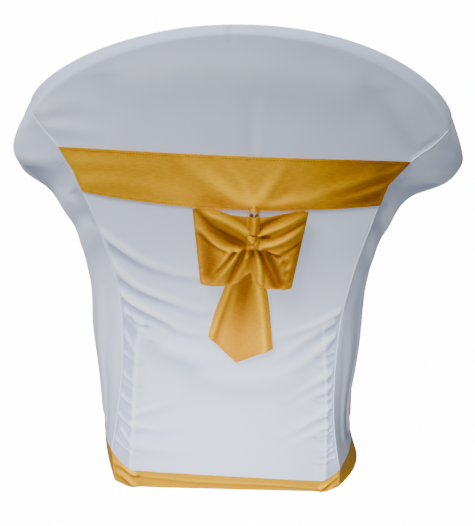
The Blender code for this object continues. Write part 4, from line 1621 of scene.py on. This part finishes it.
# ---- sash ------------------------------------------------------------------------------------
SASH_CREASES = (
    # soft folds that fan out of the keeper
    Crease(((-0.060, 0.690), (-0.018, 0.655), (0.022, 0.626)), 0.0110, 0.0020, 0.2, 1.0, 0.6),
    Crease(((-0.012, 0.692), (0.012, 0.660), (0.026, 0.628)), 0.0060, 0.0012, 0.2, 1.0, 0.6),
    Crease(((0.030, 0.628), (0.050, 0.664), (0.062, 0.694)), 0.0090, 0.0016, 1.0, 0.2, 0.6),
    Crease(((0.036, 0.624), (0.100, 0.640), (0.172, 0.672)), 0.0100, 0.0018, 1.0, 0.4, 0.7),
    Crease(((0.095, 0.626), (0.150, 0.638), (0.200, 0.655)), 0.0060, 0.0016, 0.4, 1.0, 0.8),
    Crease(((0.140, 0.655), (0.180, 0.668), (0.214, 0.679)), 0.0070, 0.0012, 0.3, 0.9, 0.7),
    Crease(((-0.215, 0.640), (-0.150, 0.652), (-0.080, 0.642)), 0.0120, 0.0012, 0.9, 0.2, 0.6),
    Crease(((-0.222, 0.668), (-0.160, 0.676), (-0.090, 0.680)), 0.0100, 0.0010, 0.9, 0.2, 0.6),
)


@dataclass
class Sash:
    """The satin band sewn across the back, with its two rows of stitches."""

    materials: Materials
    trim: Trim
    top_middle: float = 0.700
    top_end: float = 0.686
    bottom_middle: float = 0.619
    bottom_end: float = 0.624
    offset: float = 0.0023
    columns: int = 200
    rows: int = 36
    stitch_inset: float = 0.045
    stitch_spacing: float = 0.0042
    stitch_length: float = 0.0030
    stitch_radius: float = 0.00035
    stitch_shade: float = -0.9
    full_fold: float = 0.0020
    deepest: float = 0.0002
    fade: float = 0.012
    stitch_rise: float = 0.0001
    # Painted light along the band: lighter at the left, painted shade towards the right.
    shade: tuple[float, float] = (0.45, -0.65)
    shade_from: float = 0.06
    shade_run: float = 0.16

    @staticmethod
    def seam_half(levels: Sequence[Level], height: Array) -> Array:
        """Half width of the back at a height."""
        heights = [row.rear for row in reversed(levels)]
        return np.interp(height, heights, [row.seam for row in reversed(levels)])

    def points(self) -> tuple[Array, Array]:
        """Middle of the cloth, and how far its folds stand out."""
        share = np.linspace(-1.0, 1.0, self.columns + 1)
        top = self.top_middle + (self.top_end - self.top_middle) * share**2
        bottom = self.bottom_middle + (self.bottom_end - self.bottom_middle) * share**2
        z = top + (bottom - top) * np.linspace(0.0, 1.0, self.rows + 1)[:, None]
        left = self.seam_half(LEFT_LEVELS, z) - CLOTH
        right = self.seam_half(RIGHT_LEVELS, z) - CLOTH
        x = 0.5 * (right - left) + 0.5 * (right + left) * share
        flat = np.stack((x, FORM.back_depth(x, z), z), axis=-1)
        folds = relief(x, z, SASH_CREASES) * edge_fade(flat, self.fade)
        under = relief(x, z, BACK_CREASES)
        flat[..., 1] -= self.offset + np.maximum(folds, -self.deepest) + np.maximum(under, 0.0)
        return flat, folds

    def build(self) -> None:
        """Adds the band and its stitches."""
        points, folds = self.points()
        normals = own_normals(points)
        # Painted light: the band is painted lighter at the left and darker towards the right, and its folds
        # get painted shade in troughs and painted highlights on ridges.
        left, right = self.shade
        shade = left + (right - left) * ease((points[..., 0] - self.shade_from) / self.shade_run)
        fold = np.clip(folds / self.full_fold + shade, -1.0, 1.0)
        mesh = slab_mesh("sash", pulled_in(points, normals), normals, SATIN, fold)
        material = self.materials[Slot.GOLD]
        piece = place_piece("satin_sash", mesh, material, ("sash_band",))
        rows = (self.stitch_inset, 1.0 - self.stitch_inset)
        paths = [self.row_path(points, normals, share) for share in rows]
        self.trim.along("sash_stitches", paths, self.trim.stitches, Slot.GOLD, self.stitch_shade,
                        Spacing=self.stitch_spacing, Length=self.stitch_length,
                        Radius=self.stitch_radius)

    def row_path(self, points: Array, normals: Array, share: float) -> Array:
        """Path just on the cloth's face, a share of the way down it.

        Args:
            points: Middle of the cloth.
            normals: Outward normals.
            share: How far down, 0 to 1.

        Returns:
            The path.
        """
        place = share * (len(points) - 1)
        low = int(place)
        mix = place - low
        row = points[low] * (1.0 - mix) + points[low + 1] * mix
        return (row + normals[low] * (0.5 * SATIN + self.stitch_rise))[2:-2]


# ---- bow -------------------------------------------------------------------------------------
class Edge(NamedTuple):
    """Heights of the bow's two long edges, a share of the way out along a wing."""

    out: float
    top: float
    bottom: float


LEFT_EDGES = (
    Edge(0.00, 0.616, 0.519),
    Edge(0.12, 0.6165, 0.511),
    Edge(0.27, 0.6185, 0.4985),
    Edge(0.42, 0.622, 0.495),
    Edge(0.60, 0.629, 0.4925),
    Edge(0.85, 0.632, 0.490),
    Edge(1.00, 0.630, 0.488),
)
RIGHT_EDGES = (
    Edge(0.00, 0.616, 0.516),
    Edge(0.12, 0.616, 0.500),
    Edge(0.24, 0.618, 0.4925),
    Edge(0.60, 0.627, 0.489),
    Edge(0.85, 0.632, 0.487),
    Edge(1.00, 0.631, 0.485),
)
BOW_FOLDS = (
    # left wing
    Crease(((-0.040, 0.624), (-0.006, 0.610), (0.021, 0.590)), 0.0060, 0.0040, 0.6, 1.0, 0.2),
    Crease(((-0.012, 0.623), (0.006, 0.612), (0.021, 0.600)), 0.0030, -0.0022, 0.2, 1.0, 0.0),
    Crease(((-0.046, 0.624), (-0.031, 0.601), (-0.008, 0.583), (0.014, 0.566)),
           0.0062, -0.0068, 0.5, 1.0, 0.0),
    Crease(((-0.047, 0.597), (-0.027, 0.577), (-0.008, 0.564), (0.014, 0.562)),
           0.0042, 0.0044, 0.7, 1.0, 0.3),
    Crease(((-0.040, 0.580), (-0.033, 0.548), (-0.034, 0.510)), 0.0120, -0.0066, 0.5, 0.6, 0.0),
    Crease(((-0.044, 0.488), (-0.013, 0.540), (-0.003, 0.559)), 0.0036, 0.0044, 0.1, 1.0, 0.0),
    Crease(((-0.021, 0.518), (-0.008, 0.537), (0.004, 0.556)), 0.0030, -0.0036, 0.4, 1.0, 0.0),
    Crease(((-0.032, 0.486), (-0.004, 0.531), (0.010, 0.560)), 0.0034, 0.0038, 0.1, 1.0, 0.0),
    Crease(((-0.002, 0.500), (0.005, 0.523), (0.016, 0.555)), 0.0046, -0.0048, 0.6, 1.0, 0.0),
    Crease(((-0.050, 0.616), (-0.046, 0.557), (-0.041, 0.480)), 0.0030, 0.0030, 0.7, 1.0, 0.0),
    # right wing
    Crease(((0.034, 0.594), (0.051, 0.610), (0.080, 0.627)), 0.0046, -0.0044, 1.0, 0.4, 0.0),
    Crease(((0.036, 0.588), (0.066, 0.606), (0.094, 0.621)), 0.0046, 0.0036, 1.0, 0.6, 0.2),
    Crease(((0.050, 0.577), (0.074, 0.594), (0.094, 0.609)), 0.0030, -0.0040, 0.6, 1.0, 0.0),
    Crease(((0.038, 0.566), (0.068, 0.582), (0.092, 0.601)), 0.0050, 0.0042, 1.0, 0.7, 0.2),
    Crease(((0.062, 0.553), (0.080, 0.563), (0.093, 0.577)), 0.0032, -0.0040, 0.6, 1.0, 0.0),
    Crease(((0.038, 0.562), (0.052, 0.560), (0.068, 0.556)), 0.0028, 0.0034, 1.0, 0.6, 0.8),
    Crease(((0.042, 0.554), (0.054, 0.530), (0.067, 0.496)), 0.0092, -0.0080, 0.8, 0.7, 0.0),
    Crease(((0.034, 0.558), (0.040, 0.528), (0.042, 0.500)), 0.0032, 0.0050, 0.9, 1.0, 0.0),
    Crease(((0.041, 0.583), (0.048, 0.584)), 0.0036, -0.0046, 1.0, 0.6, 0.0),
    Crease(((0.066, 0.538), (0.071, 0.551), (0.081, 0.549), (0.084, 0.538), (0.079, 0.529)),
           0.0026, 0.0016, 0.6, 1.0, 0.0),
    Crease(((0.073, 0.541), (0.077, 0.538)), 0.0032, -0.0020, 1.0, 1.0, 0.0),
    Crease(((0.069, 0.522), (0.072, 0.511), (0.081, 0.511)), 0.0026, 0.0010, 0.6, 1.0, 0.0),
    Crease(((0.077, 0.522), (0.077, 0.518)), 0.0026, -0.0012, 1.0, 1.0, 0.0),
    Crease(((0.092, 0.573), (0.089, 0.540), (0.084, 0.505)), 0.0034, -0.0030, 1.0, 0.6, 0.0),
    # the strip that runs down from the knot
    Crease(((0.022, 0.562), (0.020, 0.545), (0.018, 0.530)), 0.0022, 0.0040, 1.0, 0.4, 0.0),
    Crease(((0.027, 0.558), (0.026, 0.540), (0.026, 0.524)), 0.0036, -0.0040, 1.0, 0.7, 0.0),
)
KNOT_FOLDS = (
    Crease(((0.018, 0.5885), (0.028, 0.5875), (0.040, 0.5880)), 0.0014, -0.0022, 1.0, 1.0, 0.0),
    Crease(((0.0235, 0.614), (0.0230, 0.602), (0.0215, 0.591)), 0.0016, -0.0018, 1.0, 1.0, 0.0),
    Crease(((0.029, 0.613), (0.030, 0.602), (0.029, 0.592)), 0.0030, 0.0012, 1.0, 0.8, 0.0),
    Crease(((0.022, 0.583), (0.028, 0.578), (0.036, 0.569)), 0.0030, 0.0016, 1.0, 1.0, 0.4),
    Crease(((0.024, 0.570), (0.029, 0.574), (0.033, 0.583)), 0.0020, -0.0014, 0.6, 1.0, 0.0),
    Crease(((0.021, 0.566), (0.028, 0.568), (0.036, 0.566)), 0.0018, 0.0010, 1.0, 1.0, 0.0),
)


class TailRow(NamedTuple):
    """The tail's two edges at one height."""

    left_x: float
    left_z: float
    right_x: float
    right_z: float


TAIL_ROWS = (
    TailRow(0.008, 0.530, 0.034, 0.530),
    TailRow(-0.005, 0.497, 0.047, 0.497),
    TailRow(-0.015, 0.462, 0.055, 0.458),
    TailRow(-0.027, 0.418, 0.062, 0.405),
    TailRow(-0.036, 0.376, 0.068, 0.356),
)
TAIL_FOLDS = (
    Crease(((-0.040, 0.330), (-0.020, 0.410), (-0.001, 0.490)), 0.0050, 0.0024, 0.3, 1.0, 0.9),
    Crease(((-0.012, 0.370), (-0.002, 0.430), (0.009, 0.500)), 0.0056, 0.0018, 0.1, 1.0, 0.3),
    Crease(((0.018, 0.330), (0.018, 0.420), (0.022, 0.500)), 0.0110, -0.0034, 0.1, 1.0, 0.0),
    Crease(((0.060, 0.310), (0.050, 0.410), (0.038, 0.496)), 0.0072, 0.0030, 0.7, 1.0, 0.2),
    Crease(((0.028, 0.470), (0.030, 0.490), (0.028, 0.510)), 0.0030, 0.0018, 0.2, 1.0, 0.0),
)


@dataclass
class Bow:
    """The satin bow: a folded loop, its knot, one pointed tail and the keeper it hangs by."""

    materials: Materials
    trim: Trim
    middle_x: float = 0.028
    left_reach: tuple[float, float] = (0.080, 0.073)
    right_reach: tuple[float, float] = (0.070, 0.059)
    standoff: float = 0.0078
    loft: float = 0.0140
    pinch: float = 0.50
    roundness: float = 0.62
    turns: int = 360
    rows: int = 90
    knot_half: float = 0.0082
    knot_top: float = 0.6165
    knot_bottom: float = 0.5625
    knot_offset: float = 0.0200
    knot_wrap: float = 0.0040
    tail_tip_x: float = 0.010
    tail_tip_drop: float = 0.042
    tail_offset: float = 0.0046
    end_gap: float = 0.0006
    rear_drop: float = 0.0120
    opening: float = 0.8
    deepest: float = 0.75
    edge_folds: float = 0.35
    edge_share: float = 0.05
    full_fold: float = 0.0032
    knot_columns: int = 36
    knot_rows: int = 90
    knot_lean: float = 0.0015
    knot_waist: float = 0.14
    knot_puff: float = 0.0012
    tail_steps: int = 18
    tail_columns: int = 80
    tail_lift: float = 0.0020
    tail_deepest: float = 0.0024
    keeper_columns: int = 96
    keeper_rows: int = 8
    keeper_turn: float = 0.94
    keeper_middle: float = 0.6195
    keeper_half: float = 0.0062
    keeper_rise: float = 0.0085
    keeper_squeeze: float = 0.25
    keeper_offset: float = 0.0108
    keeper_width: float = 0.0104
    keeper_slant: float = 0.0010
    # Painted light from the top of the keeper's loop down to its bottom.
    keeper_painted_light: float = 0.002

    def build(self) -> None:
        """Adds every piece of the bow."""
        self.add("satin_bow_loop", "bow_loop", *self.loop(), Held.FOLDED)
        self.add("satin_bow_knot", "bow_knot", *self.knot(), Held.FOLDED)
        self.add("satin_bow_tail", "bow_tail", *self.tail(), Held.HUNG)
        self.add("satin_bow_keeper", "bow_keeper", *self.keeper(), Held.FOLDED)

    def add(self, name: str, node: str, points: Array, folds: Array, held: Held) -> None:
        """Adds one piece of satin.

        Args:
            name: Name of the piece.
            node: The frame's node that it stands for.
            points: Middle of the cloth.
            folds: How far each point stands out, which sets its painted shade and highlight; on the keeper
                only a painted light.
            held: How the cloth is held; not used.
        """
        normals = own_normals(points)
        # Painted highlights on the folds' ridges and painted shade in their troughs.
        fold = np.clip(folds / self.full_fold, -1.0, 1.0)
        mesh = slab_mesh(name, pulled_in(points, normals), normals, SATIN, fold)
        piece = place_piece(name, mesh, self.materials[Slot.GOLD], (node,))

    @staticmethod
    def edge(rows: Sequence[Edge], out: Array, column: str) -> Array:
        """Height of one long edge a share of the way out, smoothed between the table's rows.

        Args:
            rows: The edge table of one wing.
            out: Shares of the way out.
            column: top or bottom.

        Returns:
            The height at each share.
        """
        values = [(row.out, getattr(row, column)) for row in rows]
        fine = curve(np.array(values), [8] * (len(rows) - 1))
        return np.interp(out, fine[:, 0], fine[:, 1])

    def loop(self) -> tuple[Array, Array]:
        """One strip folded into a flat loop, its ends meeting behind the knot."""
        turn = np.linspace(0.0, 2.0 * math.pi, self.turns + 1)[None, :]
        row = np.linspace(0.0, 1.0, self.rows + 1)[:, None]
        out = np.abs(np.sin(turn)) ** self.roundness
        right = turn < math.pi
        wings = (np.interp(row, (0.0, 1.0), pair) for pair in (self.right_reach, self.left_reach))
        reach_right, reach_left = wings
        reach = np.where(right, reach_right, -reach_left) * out
        reach[:, 0] = self.end_gap
        reach[:, -1] = -self.end_gap
        front = 0.5 * (1.0 - np.cos(turn)) + 0.0 * row
        top, bottom = (
            np.where(right, self.edge(RIGHT_EDGES, out, name), self.edge(LEFT_EDGES, out, name))
            for name in ("top", "bottom")
        )
        top = top - self.rear_drop * (1.0 - front)
        bottom = bottom + self.rear_drop * (1.0 - front)
        z = top + (bottom - top) * row
        x = self.middle_x + reach
        stand = self.loft * front * (self.pinch + (1.0 - self.pinch) * ease(out / self.opening))
        rim = ease(np.minimum(row, 1.0 - row) / self.edge_share)
        folds = np.maximum(relief(x, z, BOW_FOLDS) * front**2, -self.deepest * stand)
        folds *= self.edge_folds + (1.0 - self.edge_folds) * rim
        depth = FORM.back_depth(x, z) - self.standoff - stand - folds
        return np.stack((x, depth, z), axis=-1), folds

    def knot(self) -> tuple[Array, Array]:
        """The strip wrapped down over the middle of the bow, with its crosswise crease."""
        share = np.linspace(-1.0, 1.0, self.knot_columns + 1)[None, :]
        down = np.linspace(0.0, 1.0, self.knot_rows + 1)[:, None]
        z = self.knot_top + (self.knot_bottom - self.knot_top) * down + 0.0 * share
        lean = self.knot_lean * (down - 0.5)
        half = self.knot_half * (1.0 - self.knot_waist * hill(down - 0.52, 0.08))
        x = self.middle_x + lean + half * share
        folds = relief(x, z, KNOT_FOLDS)
        wrap = self.knot_wrap * (np.abs(share) ** 3 + 0.6 * np.abs(2.0 * down - 1.0) ** 6)
        puff = self.knot_puff * hill(down - 0.76, 0.18) * (1.0 - share**2)
        depth = FORM.back_depth(x, z) - self.knot_offset + wrap - puff - folds
        # The puff adds a painted highlight on the knot's bulge.
        return np.stack((x, depth, z), axis=-1), folds + puff

    def tail(self) -> tuple[Array, Array]:
        """The pointed tail that hangs below the knot."""
        rows = curve(np.array(TAIL_ROWS), [self.tail_steps] * (len(TAIL_ROWS) - 1))
        share = np.linspace(0.0, 1.0, self.tail_columns + 1)[None, :]
        x = rows[:, 0:1] + (rows[:, 2:3] - rows[:, 0:1]) * share
        z = rows[:, 1:2] + (rows[:, 3:4] - rows[:, 1:2]) * share
        down = np.linspace(0.0, 1.0, len(rows))[:, None]
        last = TAIL_ROWS[-1]
        tip = (self.tail_tip_x - last.left_x) / (last.right_x - last.left_x)
        point = np.where(share < tip, share / tip, (1.0 - share) / (1.0 - tip))
        z = z - self.tail_tip_drop * point * down**2
        folds = relief(x, z, TAIL_FOLDS)
        lift = self.tail_lift * hill(down - 1.0, 0.18)
        stand = self.tail_offset + lift + np.maximum(folds, -self.tail_deepest)
        return np.stack((x, FORM.back_depth(x, z) - stand, z), axis=-1), folds

    def keeper(self) -> tuple[Array, Array]:
        """The narrow ribbon that loops from the sash's lower edge down to the knot."""
        reach = self.keeper_turn * math.pi
        turn = np.linspace(-reach, reach, self.keeper_columns + 1)[None, :]
        side = np.linspace(-0.5, 0.5, self.keeper_rows + 1)[:, None]
        squeeze = 1.0 - self.keeper_squeeze * np.abs(np.sin(2.0 * turn))
        x = self.middle_x + self.keeper_half * np.sin(turn) * squeeze + 0.0 * side
        z = self.keeper_middle + self.keeper_rise * np.cos(turn) * squeeze + 0.0 * side
        stand = self.keeper_offset + self.keeper_width * side + self.keeper_slant * np.cos(turn)
        points = np.stack((x, FORM.back_depth(x, z) - stand, z), axis=-1)
        # Painted light: the keeper is painted lighter at the top of its loop and darker at its bottom; its
        # shape is not moved by it.
        return points, self.keeper_painted_light * np.cos(turn) + 0.0 * side


# ---- studio ----------------------------------------------------------------------------------
@dataclass(frozen=True)
class SoftLight:
    """One large soft light, aimed at a point."""

    name: str
    place: Place
    aim: Place
    size: float
    power: float
    spread: float = 180.0
    shadow: bool = True

    def build(self) -> None:
        """Adds the light."""
        data = bpy.data.lights.new(self.name, "AREA")
        data.shape = "SQUARE"
        data.size = self.size
        data.energy = self.power
        data.spread = math.radians(self.spread)
        data.use_shadow = self.shadow
        light = bpy.data.objects.new(self.name, data)
        light.location = self.place
        towards = Vector(self.aim) - Vector(self.place)
        light.rotation_euler = towards.to_track_quat("-Z", "Y").to_euler()
        bpy.context.scene.collection.objects.link(light)


@dataclass(frozen=True)
class Studio:
    """Pale floor, soft light and the camera."""

    camera_x: float = 0.027
    camera_behind: float = -0.712
    camera_height: float = 1.021
    pitch: float = 35.5
    roll: float = 1.72
    yaw: float = -1.6
    lens: float = 41.06
    floor_half: float = 30.0
    dome_radius: float = 28.0
    dome_rings: int = 12
    dome_steps: int = 32
    floor_glow: float = 14.0
    sky: float = 0.26
    lights: tuple[SoftLight, ...] = (
        SoftLight("key_light", (-0.8, -1.20, 2.9), (0.0, -0.25, 0.30), 0.9, 106.0),
        SoftLight("low_light", (-0.06, -1.00, 0.10), (-0.02, -0.24, 0.14), 0.4, 2.5, 80.0, False),
        SoftLight("front_light", (0.0, 2.6, 2.2), (0.0, 0.0, 0.4), 1.6, 27.0),
    )

    def build(self) -> None:
        """Adds the floor, the lights and the camera."""
        self.add_floor()
        self.add_sky()
        for light in self.lights:
            light.build()
        self.add_camera()

    def add_floor(self) -> None:
        """Adds the plain pale floor and the same pale colour all round it."""
        material = self.pale()
        for shape in (self.floor_mesh(), self.dome_mesh()):
            shape.materials.append(material)
            stage = bpy.data.objects.new(shape.name, shape)
            stage.visible_diffuse = False
            stage.visible_glossy = False
            stage.visible_shadow = False
            bpy.context.scene.collection.objects.link(stage)

    def floor_mesh(self) -> Mesh:
        """One large square."""
        half = self.floor_half
        mesh = bpy.data.meshes.new("floor")
        corners = [(-half, -half, 0.0), (half, -half, 0.0), (half, half, 0.0), (-half, half, 0.0)]
        mesh.from_pydata(corners, [], [(0, 1, 2, 3)])
        return mesh

    def dome_mesh(self) -> Mesh:
        """Half a ball, seen from inside."""
        vertices, faces = [], []
        for ring in range(self.dome_rings + 1):
            tilt = 0.5 * math.pi * ring / self.dome_rings
            flat = self.dome_radius * math.cos(tilt)
            height = self.dome_radius * math.sin(tilt)
            for step in range(self.dome_steps):
                turn = 2.0 * math.pi * step / self.dome_steps
                vertices.append((flat * math.cos(turn), flat * math.sin(turn), height))
        for ring in range(self.dome_rings):
            row = ring * self.dome_steps
            for step in range(self.dome_steps):
                first, after = row + step, row + (step + 1) % self.dome_steps
                faces.append((after, first, first + self.dome_steps, after + self.dome_steps))
        mesh = bpy.data.meshes.new("backdrop")
        mesh.from_pydata(vertices, [], faces)
        return mesh

    def pale(self) -> bpy.types.Material:
        """The pale glowing material of the floor and the backdrop."""
        material = bpy.data.materials.new("pale_floor")
        material.use_nodes = True
        shader = material.node_tree.nodes["Principled BSDF"]
        shader.inputs["Base Color"].default_value = (0.93, 0.93, 0.94, 1.0)
        shader.inputs["Roughness"].default_value = 0.9
        shader.inputs["Specular IOR Level"].default_value = 0.2
        shader.inputs["Emission Color"].default_value = (1.0, 1.0, 1.0, 1.0)
        shader.inputs["Emission Strength"].default_value = self.floor_glow
        return material

    def add_sky(self) -> None:
        """Even pale light from all round."""
        world = bpy.data.worlds.new("studio_sky")
        world.use_nodes = True
        shade = world.node_tree.nodes["Background"]
        shade.inputs["Color"].default_value = (0.97, 0.98, 1.0, 1.0)
        shade.inputs["Strength"].default_value = self.sky
        bpy.context.scene.world = world

    def add_camera(self) -> None:
        """Adds the camera, from its place, pitch, roll and yaw."""
        pitch, roll, yaw = (math.radians(angle) for angle in (self.pitch, self.roll, self.yaw))
        ahead = Vector((math.sin(yaw) * math.cos(pitch), math.cos(yaw) * math.cos(pitch), -math.sin(pitch)))
        level = Vector((math.cos(yaw), -math.sin(yaw), 0.0))
        upright = level.cross(ahead)
        right = level * math.cos(roll) + upright * math.sin(roll)
        up = upright * math.cos(roll) - level * math.sin(roll)
        turn = Matrix((right, up, -ahead)).transposed()
        data = bpy.data.cameras.new("camera")
        data.lens = self.lens
        data.sensor_width = 36.0
        camera = bpy.data.objects.new("camera", data)
        place = Vector((self.camera_x, FORM.back_plane + self.camera_behind, self.camera_height))
        camera.matrix_world = Matrix.Translation(place) @ turn.to_4x4()
        bpy.context.scene.collection.objects.link(camera)
        bpy.context.scene.camera = camera


def main() -> None:
    """Builds the studio, the cover, the sash and the bow, in that order."""
    logging.basicConfig(level=logging.INFO, format="%(name)s: %(message)s")
    Studio().build()
    materials = Wardrobe().build()
    trim = Trim(materials)
    Cover(materials, trim).build()
    Sash(materials, trim).build()
    Bow(materials, trim).build()


if __name__ == "__main__":
    main()
